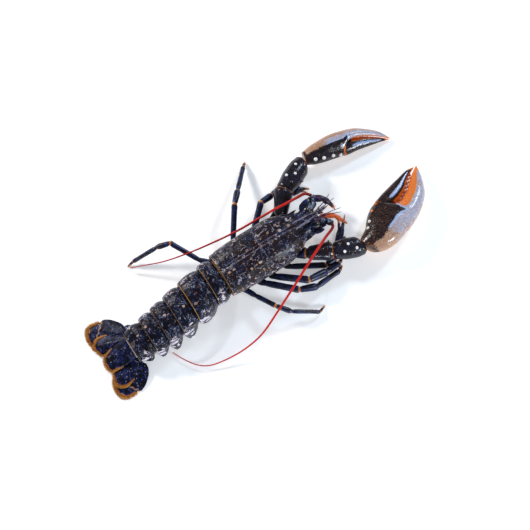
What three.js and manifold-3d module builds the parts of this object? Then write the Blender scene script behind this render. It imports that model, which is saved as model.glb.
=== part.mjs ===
// European lobster, life size, at rest on its belly with both claws forward.
// Millimetres. The body is built with +X forward, +Y to the animal's left and +Z up,
// with x = 0 at the back edge of the carapace and z = 0 on the floor.
import * as THREE from "three";
import { mergeVertices } from "three/addons/utils/BufferGeometryUtils.js";
import Module from "manifold-3d";

const wasm = await Module();
wasm.setup();

const gap = 0.3;
const halfGap = gap / 2;
const floorReach = 600;
const forward = new THREE.Vector3(1, 0, 0);
const leftward = new THREE.Vector3(0, 1, 0);
const upward = new THREE.Vector3(0, 0, 1);
const sides = { left: 1, right: -1 };

// Driving sizes of the body
const carapaceLength = 100;
const carapaceHalfWidth = 27.5;
const carapaceTop = 54;
const rostrumTip = 136;
const sternumHalfWidth = 13;
const sternumFloor = 2.5;
const abdomenEnd = -121;
const headFront = 107.5;
const eyeRadius = 3.7;

const v = (x, y, z) => new THREE.Vector3(x, y, z);
const deg = THREE.MathUtils.degToRad;
const signedPower = (value, power) => Math.sign(value) * Math.abs(value) ** power;

// A smooth line through [position, value] stations that doesn't overshoot them
function through(stations) {
  const last = stations.length - 1;
  const slope = stations.slice(1).map(([x, y], i) => {
    const [before, value] = stations[i];
    return (y - value) / (x - before);
  });
  const tangent = stations.map((_, i) => {
    if (i === 0) return slope[0];
    if (i === last) return slope[last - 1];
    const product = slope[i - 1] * slope[i];
    return product <= 0 ? 0 : (2 * product) / (slope[i - 1] + slope[i]);
  });
  return (x) => {
    if (x <= stations[0][0]) return stations[0][1];
    if (x >= stations[last][0]) return stations[last][1];
    const i = stations.findIndex(([next]) => next > x) - 1;
    const [x0, y0] = stations[i];
    const [x1, y1] = stations[i + 1];
    const h = x1 - x0;
    const t = (x - x0) / h;
    const rise = t * t * (3 - 2 * t);
    return (
      y0 * (1 - rise) + y1 * rise +
      h * t * (1 - t) * (tangent[i] * (1 - t) - tangent[i + 1] * t)
    );
  };
}

// Solids
function solidOf(geometry) {
  const bare = geometry.clone();
  bare.deleteAttribute("normal");
  bare.deleteAttribute("uv");
  const merged = mergeVertices(bare, 1e-3);
  const triVerts = new Uint32Array(merged.index.array);
  const vertProperties = merged.attributes.position.array;
  const made = new wasm.Manifold(new wasm.Mesh({ numProp: 3, vertProperties, triVerts }));
  if (made.volume() > 0) return made;
  for (let i = 0; i < triVerts.length; i += 3) {
    [triVerts[i + 1], triVerts[i + 2]] = [triVerts[i + 2], triVerts[i + 1]];
  }
  return new wasm.Manifold(new wasm.Mesh({ numProp: 3, vertProperties, triVerts }));
}

// One closed skin over rings that hold equally many points, each end closed by a fan
function loft(rings) {
  const count = rings[0].length;
  const centre = (ring) => ring.reduce((sum, p) => sum.add(p), v(0, 0, 0)).divideScalar(count);
  const points = [...rings.flat(), centre(rings[0]), centre(rings.at(-1))];
  const index = [];
  const first = rings.length * count;
  for (let i = 0; i < count; i++) {
    const next = (i + 1) % count;
    for (let r = 0; r < rings.length - 1; r++) {
      const a = r * count;
      const b = a + count;
      index.push(a + i, a + next, b + i, a + next, b + next, b + i);
    }
    const tail = (rings.length - 1) * count;
    index.push(first, next, i, first + 1, tail + i, tail + next);
  }
  const geometry = new THREE.BufferGeometry().setFromPoints(points);
  geometry.setIndex(index);
  return solidOf(geometry);
}

function largest(solid) {
  const pieces = solid.decompose();
  return pieces.reduce((best, piece) => (piece.volume() > best.volume() ? piece : best));
}

const joined = (solids) => largest(solids.reduce((sum, next) => sum.add(next)));
const carved = (solid, ...cutters) => largest(cutters.reduce((rest, c) => rest.subtract(c), solid));

// The part of a solid that stands above the floor, which gives it a small flat to rest on
function onFloor(solid) {
  const box = new THREE.BoxGeometry(floorReach, floorReach, floorReach);
  return carved(solid, solidOf(box.translate(0, 0, -floorReach / 2)));
}

// A cone whose root is sunk into what it grows from
function spine(root, direction, length, radius, count = 5) {
  const sunk = 0.45 * radius + 0.5;
  const cone = new THREE.ConeGeometry(radius, length + sunk, count);
  const turn = new THREE.Quaternion().setFromUnitVectors(leftward, direction.clone().normalize());
  cone.translate(0, (length - sunk) / 2, 0).applyQuaternion(turn);
  return solidOf(cone.translate(root.x, root.y, root.z));
}

function bump(centre, radius, across = 7, down = 5) {
  const ball = new THREE.SphereGeometry(radius, across, down);
  return solidOf(ball.translate(centre.x, centre.y, centre.z));
}

// Limbs: straight lengths that meet in mitred joints
// shape holds [share of the length, half width, half depth] for each ring
function lengthRings(from, to, startNormal, endNormal, shape, count) {
  const along = to.clone().sub(from);
  const direction = along.clone().normalize();
  const across = upward.clone().cross(direction).normalize();
  const deep = direction.clone().cross(across);
  return shape.map(([share, halfWidth, halfDepth]) => {
    const centre = from.clone().addScaledVector(along, share);
    const lean = Math.max(0, 1 - 4 * share);
    const leanEnd = Math.max(0, 4 * share - 3);
    const normal = direction.clone().multiplyScalar(1 - lean - leanEnd);
    normal.addScaledVector(startNormal, lean).addScaledVector(endNormal, leanEnd);
    return Array.from({ length: count }, (_, i) => {
      const angle = (2 * Math.PI * i) / count;
      const offset = across.clone().multiplyScalar(halfWidth * Math.cos(angle));
      offset.addScaledVector(deep, halfDepth * Math.sin(angle));
      const slide = -offset.dot(normal) / direction.dot(normal);
      return centre.clone().add(offset).addScaledVector(direction, slide);
    });
  });
}

// joints are points; shapes[i] shapes the length from joints[i] to joints[i + 1]
function limb(joints, shapes, { startNormal, endNormal, sideCount = 8 } = {}) {
  const directions = joints.slice(1).map((p, i) => p.clone().sub(joints[i]).normalize());
  const normalAt = (i) => {
    if (i === 0) return startNormal ?? directions[0];
    if (i === directions.length) return endNormal ?? directions.at(-1);
    return directions[i - 1].clone().add(directions[i]).normalize();
  };
  const rings = shapes.flatMap((shape, i) =>
    lengthRings(joints[i], joints[i + 1], normalAt(i), normalAt(i + 1), shape, sideCount));
  return loft(rings);
}

const bisector = (a, b, c) => {
  const before = b.clone().sub(a).normalize();
  return before.add(c.clone().sub(b).normalize()).normalize();
};

// A share list scaled to a half width and a half depth
const scaled = (shares, halfWidth, halfDepth) =>
  shares.map(([share, w, d = w]) => [share, w * halfWidth, d * halfDepth]);

// Carapace: an arched shell, widest at mid height, with the cervical groove across it
const carapaceStations = [0, 3, 10, 20, 30, 40, 46, 49, 51, 53, 56, 62, 70, 78, 85, 91, 96, 100];
const carapaceWidth = through([
  [0, 25], [10, 26.4], [30, 27.4], [50, carapaceHalfWidth], [70, 26.6], [84, 23.8], [93, 20], [100, 16.5],
]);
const carapaceRoof = through([
  [0, 47.5], [10, 50.5], [28, 53], [45, carapaceTop], [60, 53.6], [80, 51], [92, 48.2], [100, 46.5],
]);
const carapaceMargin = through([[0, 17], [12, 14.8], [56, 14.8], [72, 18], [84, 22.6], [100, 24]]);
const carapaceMiddle = through([[0, 28], [60, 28], [85, 30], [100, 32]]);
const marginAngle = deg(35);
const groove = { at: 51, depth: 1.7, halfWidth: 2.2, sweep: 13, reach: 30 };
const midlineDepth = 0.6;

function grooveSweep(x, lift) {
  const window = Math.max(0, 1 - ((x - groove.at) / groove.reach) ** 2);
  return groove.sweep * window * Math.min(1, 1 - lift) ** 1.3;
}

function carapaceRing(x, count) {
  const width = carapaceWidth(x);
  const roof = carapaceRoof(x);
  const margin = carapaceMargin(x);
  const middle = carapaceMiddle(x);
  const outer = Array.from({ length: count }, (_, i) => {
    const angle = -marginAngle + ((Math.PI + 2 * marginAngle) * i) / (count - 1);
    const lift = Math.sin(angle);
    const y = width * signedPower(Math.cos(angle), 0.8);
    const rise = (roof - middle) * signedPower(lift, 0.86);
    const drop = ((middle - margin) * lift) / Math.sin(marginAngle);
    const z = middle + (lift > 0 ? rise : drop);
    const cut = groove.depth * Math.max(0, 1 - Math.abs(x - groove.at) / groove.halfWidth);
    const shrink = lift > -0.2 ? 1 - cut / Math.hypot(y, z - middle) : 1;
    const midline = Math.abs(lift - 1) < 1e-6 ? midlineDepth : 0;
    return v(x + grooveSweep(x, lift), y * shrink, middle + (z - middle) * shrink - midline);
  });
  const edge = Math.abs(outer[0].y);
  const inner = [[3 - edge, 0.6], [-0.5 * edge, 2.4], [0.5 * edge, 2.4], [edge - 3, 0.6]];
  return [...outer, ...inner.map(([y, lift]) => v(outer[0].x, y, margin + lift))];
}

// Rostrum: a narrow roofed beak with spines along both edges
const rostrumRoot = 84;
const rostrumShape = [
  [rostrumRoot, 6.5, 47.8, 5], [95, 6.6, 47.6, 4.4], [104, 5.4, 47.2, 3.6], [114, 4.1, 46.6, 2.9],
  [124, 2.7, 46.3, 2.2], [131, 1.5, 46.4, 1.4], [rostrumTip, 0.3, 46.8, 0.3],
];
const rostrumSpines = [
  { x: 112.4, y: 4, length: 5.4 },
  { x: 117.4, y: 3.3, length: 5.2 },
  { x: 124, y: 2.3, length: 4.8 },
];
const shellSpines = [
  { at: [96, 11.8, 44.6], toward: [1, 0.12, 0.25], length: 6.5, radius: 1.8 },
  { at: [99, 16.4, 34.5], toward: [1, 0.1, 0.08], length: 8.5, radius: 2 },
  { at: [89, 20.6, 36.2], toward: [1, 0.45, 0.15], length: 4.5, radius: 1.6 },
];

function rostrum() {
  const rings = rostrumShape.map(([x, halfWidth, ridge, drop]) => [
    v(x, halfWidth, ridge - drop * 0.35),
    v(x, halfWidth * 0.55, ridge + 0.5),
    v(x, 0, ridge - 0.1),
    v(x, -halfWidth * 0.55, ridge + 0.5),
    v(x, -halfWidth, ridge - drop * 0.35),
    v(x, 0, ridge - drop),
  ]);
  const spines = Object.values(sides).flatMap((side) =>
    rostrumSpines.map(({ x, y, length }) =>
      spine(v(x, side * y, 46), v(1, side * 0.45, 0.35), length, 1.15)));
  return [loft(rings), ...spines];
}

function carapace() {
  const shell = loft(carapaceStations.map((x) => carapaceRing(x, 23)));
  const mirrored = ([x, y, z], side) => v(x, side * y, z);
  const spines = Object.values(sides).flatMap((side) =>
    shellSpines.map(({ at, toward, length, radius }) =>
      spine(mirrored(at, side), mirrored(toward, side), length, radius)));
  return joined([shell, ...rostrum(), ...spines]);
}

// Sternum: the floor of the chest between the legs
const sternumSpan = { back: 2.5, front: 96 };

function sternum() {
  const outline = (x, halfWidth, low) => [
    v(x, halfWidth, 6), v(x, halfWidth, 14.4), v(x, 9, 16.6), v(x, -9, 16.6),
    v(x, -halfWidth, 14.4), v(x, -halfWidth, 6), v(x, -5, low), v(x, 5, low),
  ];
  return loft([
    outline(sternumSpan.back, sternumHalfWidth, sternumFloor + 2),
    outline(sternumSpan.back + 4, sternumHalfWidth, sternumFloor),
    outline(sternumSpan.front - 8, sternumHalfWidth, sternumFloor),
    outline(sternumSpan.front, sternumHalfWidth, sternumFloor + 3),
  ]);
}

// Head: the block under the rostrum that carries the eyes, feelers and mouth
function head() {
  const ring = (x, halfWidth, low, top) => {
    const side = [[1, low + 5], [1, top - 7], [0.62, top], [0, top + 0.4], [-0.62, top], [-1, top - 7]];
    const under = [[-1, low + 5], [-0.6, low], [0.6, low]];
    return [...side, ...under].map(([share, z]) => v(x, share * halfWidth, z));
  };
  return loft([
    ring(carapaceLength + gap, 14.8, 13, 40.6),
    ring(headFront - 2, 14.6, 12.5, 41),
    ring(headFront, 14, 13, 40.6),
  ]);
}

// Eyes on short stalks
const eyeCentre = (side) => v(115.5, side * 9.8, 38.5);

function eye(side) {
  const c = eyeCentre(side);
  return bump(c, eyeRadius, 10, 7);
}

function eyeStalk(side) {
  const root = v(headFront + gap, side * 6.8, 37.2);
  const tip = eyeCentre(side);
  const shape = [[0, 2.6, 2.6], [0.35, 2.1, 2.1], [0.62, 2.9, 2.9], [0.9, 3.1, 3.1]];
  const stalk = limb([root, tip], [shape], { startNormal: forward, sideCount: 9 });
  return carved(stalk, bump(tip, eyeRadius + gap, 10, 8));
}

// Second antennae: a jointed stem with a flat scale, then a long tapering whip
const stemJoints = {
  left: [v(headFront + gap, 9.6, 27), v(119, 11.5, 27.6), v(128.5, 16, 28.6), v(130.6, 23.6, 30)],
  right: [v(headFront + gap, -9.6, 27), v(119, -8.8, 27.6), v(129, -9, 28.6), v(132.2, -15.8, 30)],
};
const antennalScales = {
  left: { root: v(111, 14.2, 32.2), tip: v(125, 22, 32.8), width: 4.2, spine: v(115.6, 18.6, 32.4) },
  right: { root: v(110.5, -12.8, 32.2), tip: v(121.6, -17.4, 32.8), width: 3.8, spine: v(112.6, -15, 32.4) },
};
const whipRoutes = {
  left: [
    v(130.6, 23.6, 30), v(124.6, 27.2, 35.5), v(113, 27.4, 38.6), v(99.5, 28, 39.6), v(90, 28.4, 41.5),
    v(62, 29.3, 41), v(38, 30.4, 39.5), v(8, 35, 35.5), v(-17, 40.6, 29.5), v(-46, 50.6, 19),
    v(-62, 59.6, 12), v(-76, 66.6, 6.5),
  ],
  right: [
    v(132.2, -15.8, 30), v(129.4, -20.6, 34.6), v(114.7, -27.3, 39.5), v(94.3, -36.5, 40), v(77.2, -44.3, 37),
    v(61, -51.6, 33.5), v(29, -65.4, 25), v(2.4, -75.9, 17), v(-12.8, -77.6, 13), v(-24.2, -78, 10.5),
    v(-38.9, -76.4, 7.5), v(-65.1, -69.9, 4), v(-78.8, -53, 3), v(-86, -37.5, 3),
  ],
};
const whipRootRadius = 1.75;
const whipTipRadius = 0.45;
const whipSteps = 40;
const whipSplit = 18;

// The plane where the whip leaves its stem
const stemEnd = (name) => bisector(...stemJoints[name].slice(2), whipRoutes[name][1]);

function antennaStem(side, name) {
  const [a, b, c, d] = stemJoints[name];
  const shapes = [
    scaled([[0, 1], [0.3, 1.08], [0.7, 1.05], [1, 1]], 5.6, 5.4),
    scaled([[0.06, 0.86], [0.4, 0.98], [0.92, 0.98]], 4.9, 4.7),
    scaled([[0.08, 0.8], [0.5, 0.9], [0.9, 0.86]], 3.9, 3.7),
  ];
  const end = stemEnd(name);
  const tip = d.clone().addScaledVector(end, -halfGap);
  const stem = limb([a, b, c, tip], shapes, { startNormal: forward, endNormal: end, sideCount: 10 });
  const plate = antennalScales[name];
  const scale = loft([[0, 0.6], [0.3, 1], [0.62, 0.8], [0.85, 0.42], [1, 0.08]].map(([share, width]) => {
    const { x, y, z } = plate.root.clone().lerp(plate.tip, share);
    const half = width * plate.width;
    return [v(x, y + half, z), v(x, y, z + 1.1), v(x, y - half, z), v(x, y, z - 1.1)];
  }));
  return joined([stem, scale, spine(plate.spine, v(1, side * 1.1, 0.1), 5, 1.3)]);
}

function whip(name, from, to) {
  const route = new THREE.CatmullRomCurve3(whipRoutes[name], false, "centripetal");
  const rings = [];
  for (let i = from; i <= to; i++) {
    const share = i / whipSteps;
    const point = route.getPointAt(share);
    const tangent = route.getTangentAt(share);
    const across = upward.clone().cross(tangent).normalize();
    const deep = tangent.clone().cross(across);
    const radius = THREE.MathUtils.lerp(whipRootRadius, whipTipRadius, share ** 0.8);
    const normal = i === 0 ? stemEnd(name) : tangent;
    if (i === from) point.addScaledVector(normal, halfGap);
    if (i === to && to < whipSteps) point.addScaledVector(tangent, -halfGap);
    rings.push(Array.from({ length: 6 }, (_, n) => {
      const angle = (Math.PI * n) / 3;
      const offset = across.clone().multiplyScalar(radius * Math.cos(angle));
      offset.addScaledVector(deep, radius * Math.sin(angle));
      const slide = -offset.dot(normal) / tangent.dot(normal);
      return point.clone().add(offset).addScaledVector(tangent, slide);
    }));
  }
  return loft(rings);
}

// First antennae: a short stem that forks into two feelers
function antennule(side) {
  const root = v(headFront + gap, side * 2.8, 34.2);
  const fork = v(124, side * 3.6, 36.6);
  const stemShape = scaled([[0, 1.9], [0.5, 1.6], [1, 1.3]], 1, 1);
  const stem = limb([root, fork], [stemShape], { startNormal: forward, sideCount: 7 });
  const feelers = [
    [v(135, side * 7.5, 38.5), v(146, side * 12, 38.5)],
    [v(136, side * 4.6, 36), v(149, side * 6.5, 34)],
  ];
  const upperThread = [[0, 0.95], [0.9, 0.75]];
  const lowerThread = [[0.1, 0.7], [1, 0.35]];
  const threadShapes = [upperThread, lowerThread].map((shape) => scaled(shape, 1, 1));
  const threads = feelers.map(([middle, tip]) => {
    const start = fork.clone().add(v(-1.6, 0, 0));
    return limb([start, middle, tip], threadShapes, { sideCount: 6 });
  });
  return joined([stem, ...threads]);
}

// Third maxillipeds: the outermost mouthparts, like short legs in front of the face
const maxillipedJoints = {
  left: [
    v(headFront + gap, 6.6, 16.8), v(120, 15.5, 16.4), v(131, 23, 19.5),
    v(141, 16, 21), v(145.2, 8, 18.6), v(147.2, -0.4, 15.4),
  ],
  right: [
    v(headFront + gap, -5.6, 17.6), v(121, -1.8, 19.5), v(131.6, -1, 22.2),
    v(141.6, -8.2, 21.4), v(145.2, -14.6, 18.4), v(149.4, -21.8, 15),
  ],
};
const maxillipedSizes = { left: 3.9, right: 2.9 };

function maxilliped(name) {
  const joints = maxillipedJoints[name];
  const size = maxillipedSizes[name];
  const shapes = [
    scaled([[0, 1], [0.3, 1.1], [0.9, 1]], 3.6, 4),
    scaled([[0.1, 0.92], [0.5, 1.05], [0.9, 1]], size, size),
    scaled([[0.12, 0.86], [0.5, 1.04], [0.88, 0.96]], size, size),
    scaled([[0.14, 0.8], [0.5, 0.94], [0.86, 0.74]], size, size),
    scaled([[0.14, 0.6], [0.6, 0.4], [1, 0.08]], size, size),
  ];
  return limb(joints, shapes, { startNormal: forward, sideCount: 8 });
}

// Walking legs, two nodes each: root to knee, and knee to tip
// Joints: chest, under the shell edge, knee, wrist, ankle, tip; pinch gives a fixed second finger
const legs = {
  leg_2_left: {
    size: 3.1,
    joints: [
      [63, 13.3, 8], [76, 25, 7.4], [100, 38.6, 6.6], [111, 43.6, 6.4], [130.5, 42.8, 5],
      [139.6, 37.4, 2.2],
    ],
    pinch: [134.4, 36.8, 1.8],
  },
  leg_3_left: {
    size: 3.3,
    joints: [
      [46, 13.3, 8.6], [60, 29, 11.6], [82, 48.6, 20.6], [98, 52, 10.4], [110, 56, 4.6],
      [117, 58, 0.4],
    ],
  },
  leg_4_left: {
    size: 3,
    joints: [
      [29, 13.3, 8.6], [33, 29, 12.4], [56, 61.4, 25], [68, 74.2, 21], [90.6, 98.6, 5.6],
      [95.8, 103.8, 0.4],
    ],
  },
  leg_5_left: {
    size: 2.7,
    joints: [
      [12, 13.3, 8.6], [-8, 30.6, 13.4], [-26.2, 61.8, 25], [-40.4, 66.8, 21], [-69.6, 71.4, 5.2],
      [-77.6, 71, 0.4],
    ],
  },
  leg_2_right: {
    size: 3.2,
    joints: [
      [63, -13.3, 8], [70, -26, 7.8], [105, -46.4, 8], [117.4, -45.6, 7.6], [142.5, -20.5, 6.6],
      [147.1, -7.5, 3.4],
    ],
    pinch: [155.6, -8.4, 3.6],
  },
  leg_3_right: {
    size: 3.7,
    joints: [
      [46, -13.3, 8.6], [50, -27, 11], [78, -53.2, 22.4], [100.6, -54.2, 14], [119, -52, 4.4],
      [127.5, -47, 0.4],
    ],
  },
  leg_4_right: {
    size: 3.5,
    joints: [
      [29, -13.3, 8.6], [37, -27.4, 11.2], [64, -55.6, 17.4], [83, -62.2, 12.6], [114.2, -59.2, 5.6],
      [121.4, -54.6, 0.4],
    ],
  },
  leg_5_right: {
    size: 2.6,
    joints: [
      [12, -13.3, 8.6], [21, -34, 13], [32.6, -57, 19], [43.8, -70.6, 15.4], [71, -86, 5.2],
      [80.8, -82.4, 0.4],
    ],
  },
};
const legShape = {
  chest: [[0, 1.35, 1.3], [0.3, 1.5, 1.35], [0.55, 1.15, 1.1], [0.9, 1.1, 1.1]],
  merus: [[0.06, 0.84, 0.96], [0.22, 1, 1.15], [0.6, 1, 1.12], [0.9, 1.05, 1.12], [1, 1.12, 1.16]],
  carpus: [[0, 0.84, 0.9], [0.3, 1.02, 1.06], [0.7, 1.12, 1.14], [0.94, 1.08, 1.08]],
  propodus: [[0.04, 0.72, 0.78], [0.2, 0.9, 0.98], [0.7, 0.8, 0.92], [0.94, 0.84, 0.9]],
  dactyl: [[0.06, 0.6, 0.64], [0.5, 0.44, 0.5], [1, 0.14, 0.16]],
  palm: [[0.04, 0.76, 0.8], [0.25, 1.04, 1.02], [0.75, 1.3, 1.1], [1, 1.05, 0.8]],
  finger: [[0, 0.62, 0.62], [0.5, 0.46, 0.46], [1, 0.1, 0.1]],
};

function legParts(leg, side) {
  const [chest, edge, knee, wrist, ankle, tip] = leg.joints.map((p) => v(...p));
  const size = (shape) => scaled(shape, leg.size, leg.size);
  const kneeNormal = bisector(edge, knee, wrist);
  const upperEnd = knee.clone().addScaledVector(kneeNormal, -halfGap);
  const lowerStart = knee.clone().addScaledVector(kneeNormal, halfGap);
  const upper = limb([chest, edge, upperEnd], [size(legShape.chest), size(legShape.merus)], {
    startNormal: leftward.clone().multiplyScalar(side),
    endNormal: kneeNormal,
  });
  if (!leg.pinch) {
    const shapes = [legShape.carpus, legShape.propodus, legShape.dactyl].map(size);
    return [upper, onFloor(limb([lowerStart, wrist, ankle, tip], shapes, { startNormal: kneeNormal }))];
  }
  const handShapes = [legShape.carpus, legShape.palm].map(size);
  const hand = limb([lowerStart, wrist, ankle], handShapes, { startNormal: kneeNormal });
  const back = wrist.clone().sub(ankle).normalize().multiplyScalar(leg.size * 0.9);
  const spread = v(...leg.pinch).sub(tip).normalize().multiplyScalar(leg.size * 0.45);
  const fingers = [[tip, -1], [v(...leg.pinch), 1]].map(([end, way]) => {
    const root = ankle.clone().add(back).addScaledVector(spread, way);
    return limb([root, end], [size(legShape.finger)], { sideCount: 7 });
  });
  return [upper, onFloor(joined([hand, ...fingers]))];
}

// Claw legs: hip, arm, wrist, then the claw itself
const arms = {
  left: { joints: [v(80, 13.3, 9.2), v(91.5, 24.4, 17), v(110.4, 46.6, 22), v(148.2, 65.2, 12.5)] },
  right: { joints: [v(80, -13.3, 9.2), v(93.5, -26, 17), v(117, -40.2, 23.5), v(149.2, -52.3, 18)] },
};
const armShape = {
  hip: [[0, 5, 5], [0.4, 6, 5.6], [0.8, 6.4, 6], [1, 6.4, 6.2]],
  merus: [[0.02, 6.2, 6.2], [0.2, 8, 8.4], [0.6, 9.4, 9.8], [0.86, 10.6, 10.6], [1, 10.6, 10.4]],
  carpus: [
    [0, 8.6, 8.4], [0.16, 10, 10], [0.45, 11.8, 11.4], [0.75, 11.6, 11.2], [0.92, 9.4, 9.4],
    [1, 7.8, 7.8],
  ],
};
// Spines of the arm: share of the length, angle round it from outward over the top, length
const meralSpines = [[0.84, 150, 3.2], [0.62, 165, 2.6]];
const carpalSpines = [[0.3, 60, 2.6], [0.45, 100, 2.4], [0.62, 135, 2.8], [0.7, 70, 2.4], [0.42, 165, 3.6]];

function armSpines(list, from, to, radii, side) {
  const along = to.clone().sub(from);
  const direction = along.clone().normalize();
  const outward = upward.clone().cross(direction).normalize().multiplyScalar(side);
  const above = upward.clone().addScaledVector(direction, -upward.dot(direction)).normalize();
  return list.map(([share, angle, length]) => {
    const way = outward.clone().multiplyScalar(Math.cos(deg(angle)));
    way.addScaledVector(above, Math.sin(deg(angle)));
    const root = from.clone().addScaledVector(along, share).addScaledVector(way, radii - 0.9);
    return spine(root, way.addScaledVector(direction, 0.55), length, 1.9, 6);
  });
}

function armParts(name) {
  const side = sides[name];
  const [chest, elbow, wristJoint, clawJoint] = arms[name].joints;
  const elbowNormal = bisector(chest, elbow, wristJoint);
  const wristNormal = bisector(elbow, wristJoint, clawJoint);
  const clawNormal = bisector(wristJoint, clawJoint, claws[name].tip);
  const before = (p, n) => p.clone().addScaledVector(n, -halfGap);
  const after = (p, n) => p.clone().addScaledVector(n, halfGap);
  const hip = limb([chest, before(elbow, elbowNormal)], [armShape.hip], {
    startNormal: leftward.clone().multiplyScalar(side), endNormal: elbowNormal, sideCount: 10,
  });
  const meralEnds = [after(elbow, elbowNormal), before(wristJoint, wristNormal)];
  const merus = limb(meralEnds, [armShape.merus], {
    startNormal: elbowNormal, endNormal: wristNormal, sideCount: 12,
  });
  const carpalEnds = [after(wristJoint, wristNormal), before(clawJoint, clawNormal)];
  const carpus = limb(carpalEnds, [armShape.carpus], {
    startNormal: wristNormal, endNormal: clawNormal, sideCount: 12,
  });
  const chestBox = new THREE.BoxGeometry(60, 2 * (sternumHalfWidth + gap), 40).translate(80, 0, 0);
  return {
    hip: carved(hip, solidOf(chestBox)),
    merus: joined([merus, ...armSpines(meralSpines, elbow, wristJoint, 10, side)]),
    carpus: joined([carpus, ...armSpines(carpalSpines, wristJoint, clawJoint, 11.2, side)]),
  };
}

// Claws, in their own frame: s along the claw, p across it towards its outer edge, q through it
// Stations: [s, value]
// knobs: [s, angle round the section from its outer edge over the top]
const claws = {
  right: {
    tip: v(255.2, -8.5, 7), roll: 14, length: 114.5,
    inner: [
      [0, -5], [4, -6.6], [10, -7.6], [17, -8.6], [23, -11.6], [34, -16], [44, -17.8], [50, -17.6],
      [54, -10], [58, -1], [62, 5.4], [67.5, 7], [79, 6.4], [93, 2.2], [107.5, -1.4], [114.5, -4],
    ],
    outer: [
      [0, 12], [3, 17.4], [10, 23.6], [18, 27.4], [26, 29.7], [36, 30.8], [49, 31.8], [60, 31.4],
      [71, 29.6], [80, 27], [88, 23.6], [95, 18.6], [101, 13], [106, 7.8], [110, 3.4], [114.5, -3.4],
    ],
    thick: [
      [0, 8], [6, 10.6], [20, 13.6], [38, 14.6], [52, 13.2], [66, 10.6], [82, 8.4], [98, 6],
      [108, 3.4], [114.5, 0.9],
    ],
    finger: {
      from: 44, to: 111.5,
      inner: [
        [44, -13], [50, -17.4], [58.5, -17], [70, -15.6], [80, -14.2], [90, -12.4], [100, -10.8],
        [106, -8.8], [111.5, -6],
      ],
      outer: [
        [44, -4], [52, -1], [60, 1.6], [67.5, 3.2], [79, 2.4], [93, -2.4], [104, -4.8], [109, -5],
        [111.5, -5.2],
      ],
      thick: [[44, 8], [52, 10.4], [62, 10.4], [76, 8.8], [90, 6.6], [102, 4.2], [111.5, 0.7]],
    },
    teeth: { count: 6, from: 67, step: 5.6, radius: 2.1 },
    knobs: [[18.7, 168], [25.6, 160], [38.6, 158], [47.5, 156]],
  },
  left: {
    tip: v(249, 38.7, 3.4), roll: 42, length: 104,
    inner: [
      [0, -4.1], [5, -4.6], [12, -6.1], [22, -6.5], [31, -6], [42, -5.4], [46.5, -4.8], [49.5, 2],
      [52.5, 10], [56, 13.8], [63, 14.2], [74, 12.6], [83.5, 9.4], [92.4, 5.8], [98.2, 2.2], [104, -1],
    ],
    outer: [
      [0, 10.7], [5, 12.8], [12, 16.3], [22, 19.4], [31, 22], [42, 23.4], [52, 23.2], [63, 22.4],
      [74, 19.2], [83.5, 15.3], [92.4, 10.6], [98.2, 5.6], [104, -0.4],
    ],
    thick: [
      [0, 6.4], [5, 7.4], [12, 8.6], [22, 9.6], [31, 10], [42, 10], [52, 8.8], [63, 7], [74, 5.8],
      [83.5, 4.6], [92.4, 3.4], [98.2, 2.2], [104, 0.7],
    ],
    finger: {
      from: 42, to: 102,
      inner: [
        [42, -1], [47.5, -5.4], [53, -5], [63, -3.2], [74, -2.4], [83.5, -1.8], [92.4, -1.3],
        [98, -1.5], [102, -1.4],
      ],
      outer: [
        [42, 8], [50, 11.4], [57, 12], [65, 11.4], [74, 9.8], [83, 7], [92, 3.8], [98, 1], [102, -0.9],
      ],
      thick: [[42, 6], [49, 8.8], [57, 8.4], [67, 7.2], [80, 5.2], [92, 3.2], [102, 0.6]],
    },
    teeth: { count: 9, from: 60, step: 3.8, radius: 1.2 },
    knobs: [[12.6, 100], [22.2, 108], [33, 116], [41.6, 128]],
  },
};
const knobRadius = 2.3;
const palmSteps = [0, 3, 8, 15, 24, 34, 43, 47, 50, 53, 56, 60, 67, 77, 87, 96];
const fingerShares = [0, 0.12, 0.24, 0.38, 0.54, 0.7, 0.84, 0.94, 1];

// Matrix from a claw's frame to the body's
function clawMatrix(name) {
  const claw = claws[name];
  const side = sides[name];
  const root = arms[name].joints[3];
  const s = claw.tip.clone().sub(root).normalize();
  const level = upward.clone().cross(s).normalize().multiplyScalar(side);
  const roll = new THREE.Quaternion().setFromAxisAngle(s, side * deg(claw.roll));
  const p = level.applyQuaternion(roll);
  const q = s.clone().cross(p).multiplyScalar(side);
  return new THREE.Matrix4().makeBasis(s, p, q).setPosition(root);
}

// A point of a blade-like body between an inner and an outer edge line
function clawSkin(matrix, lines, s, angle, grow = 0) {
  const [inner, outer, thick] = lines;
  const middle = (inner(s) + outer(s)) / 2;
  const half = (outer(s) - inner(s)) / 2 + grow;
  const p = middle + half * signedPower(Math.cos(angle), 0.88);
  return v(s, p, (thick(s) + grow) * signedPower(Math.sin(angle), 0.94)).applyMatrix4(matrix);
}

function clawBody(matrix, steps, lines, count, grow = 0) {
  return loft(steps.map((s) => Array.from({ length: count }, (_, i) =>
    clawSkin(matrix, lines, s, (2 * Math.PI * i) / count, grow))));
}

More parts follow.
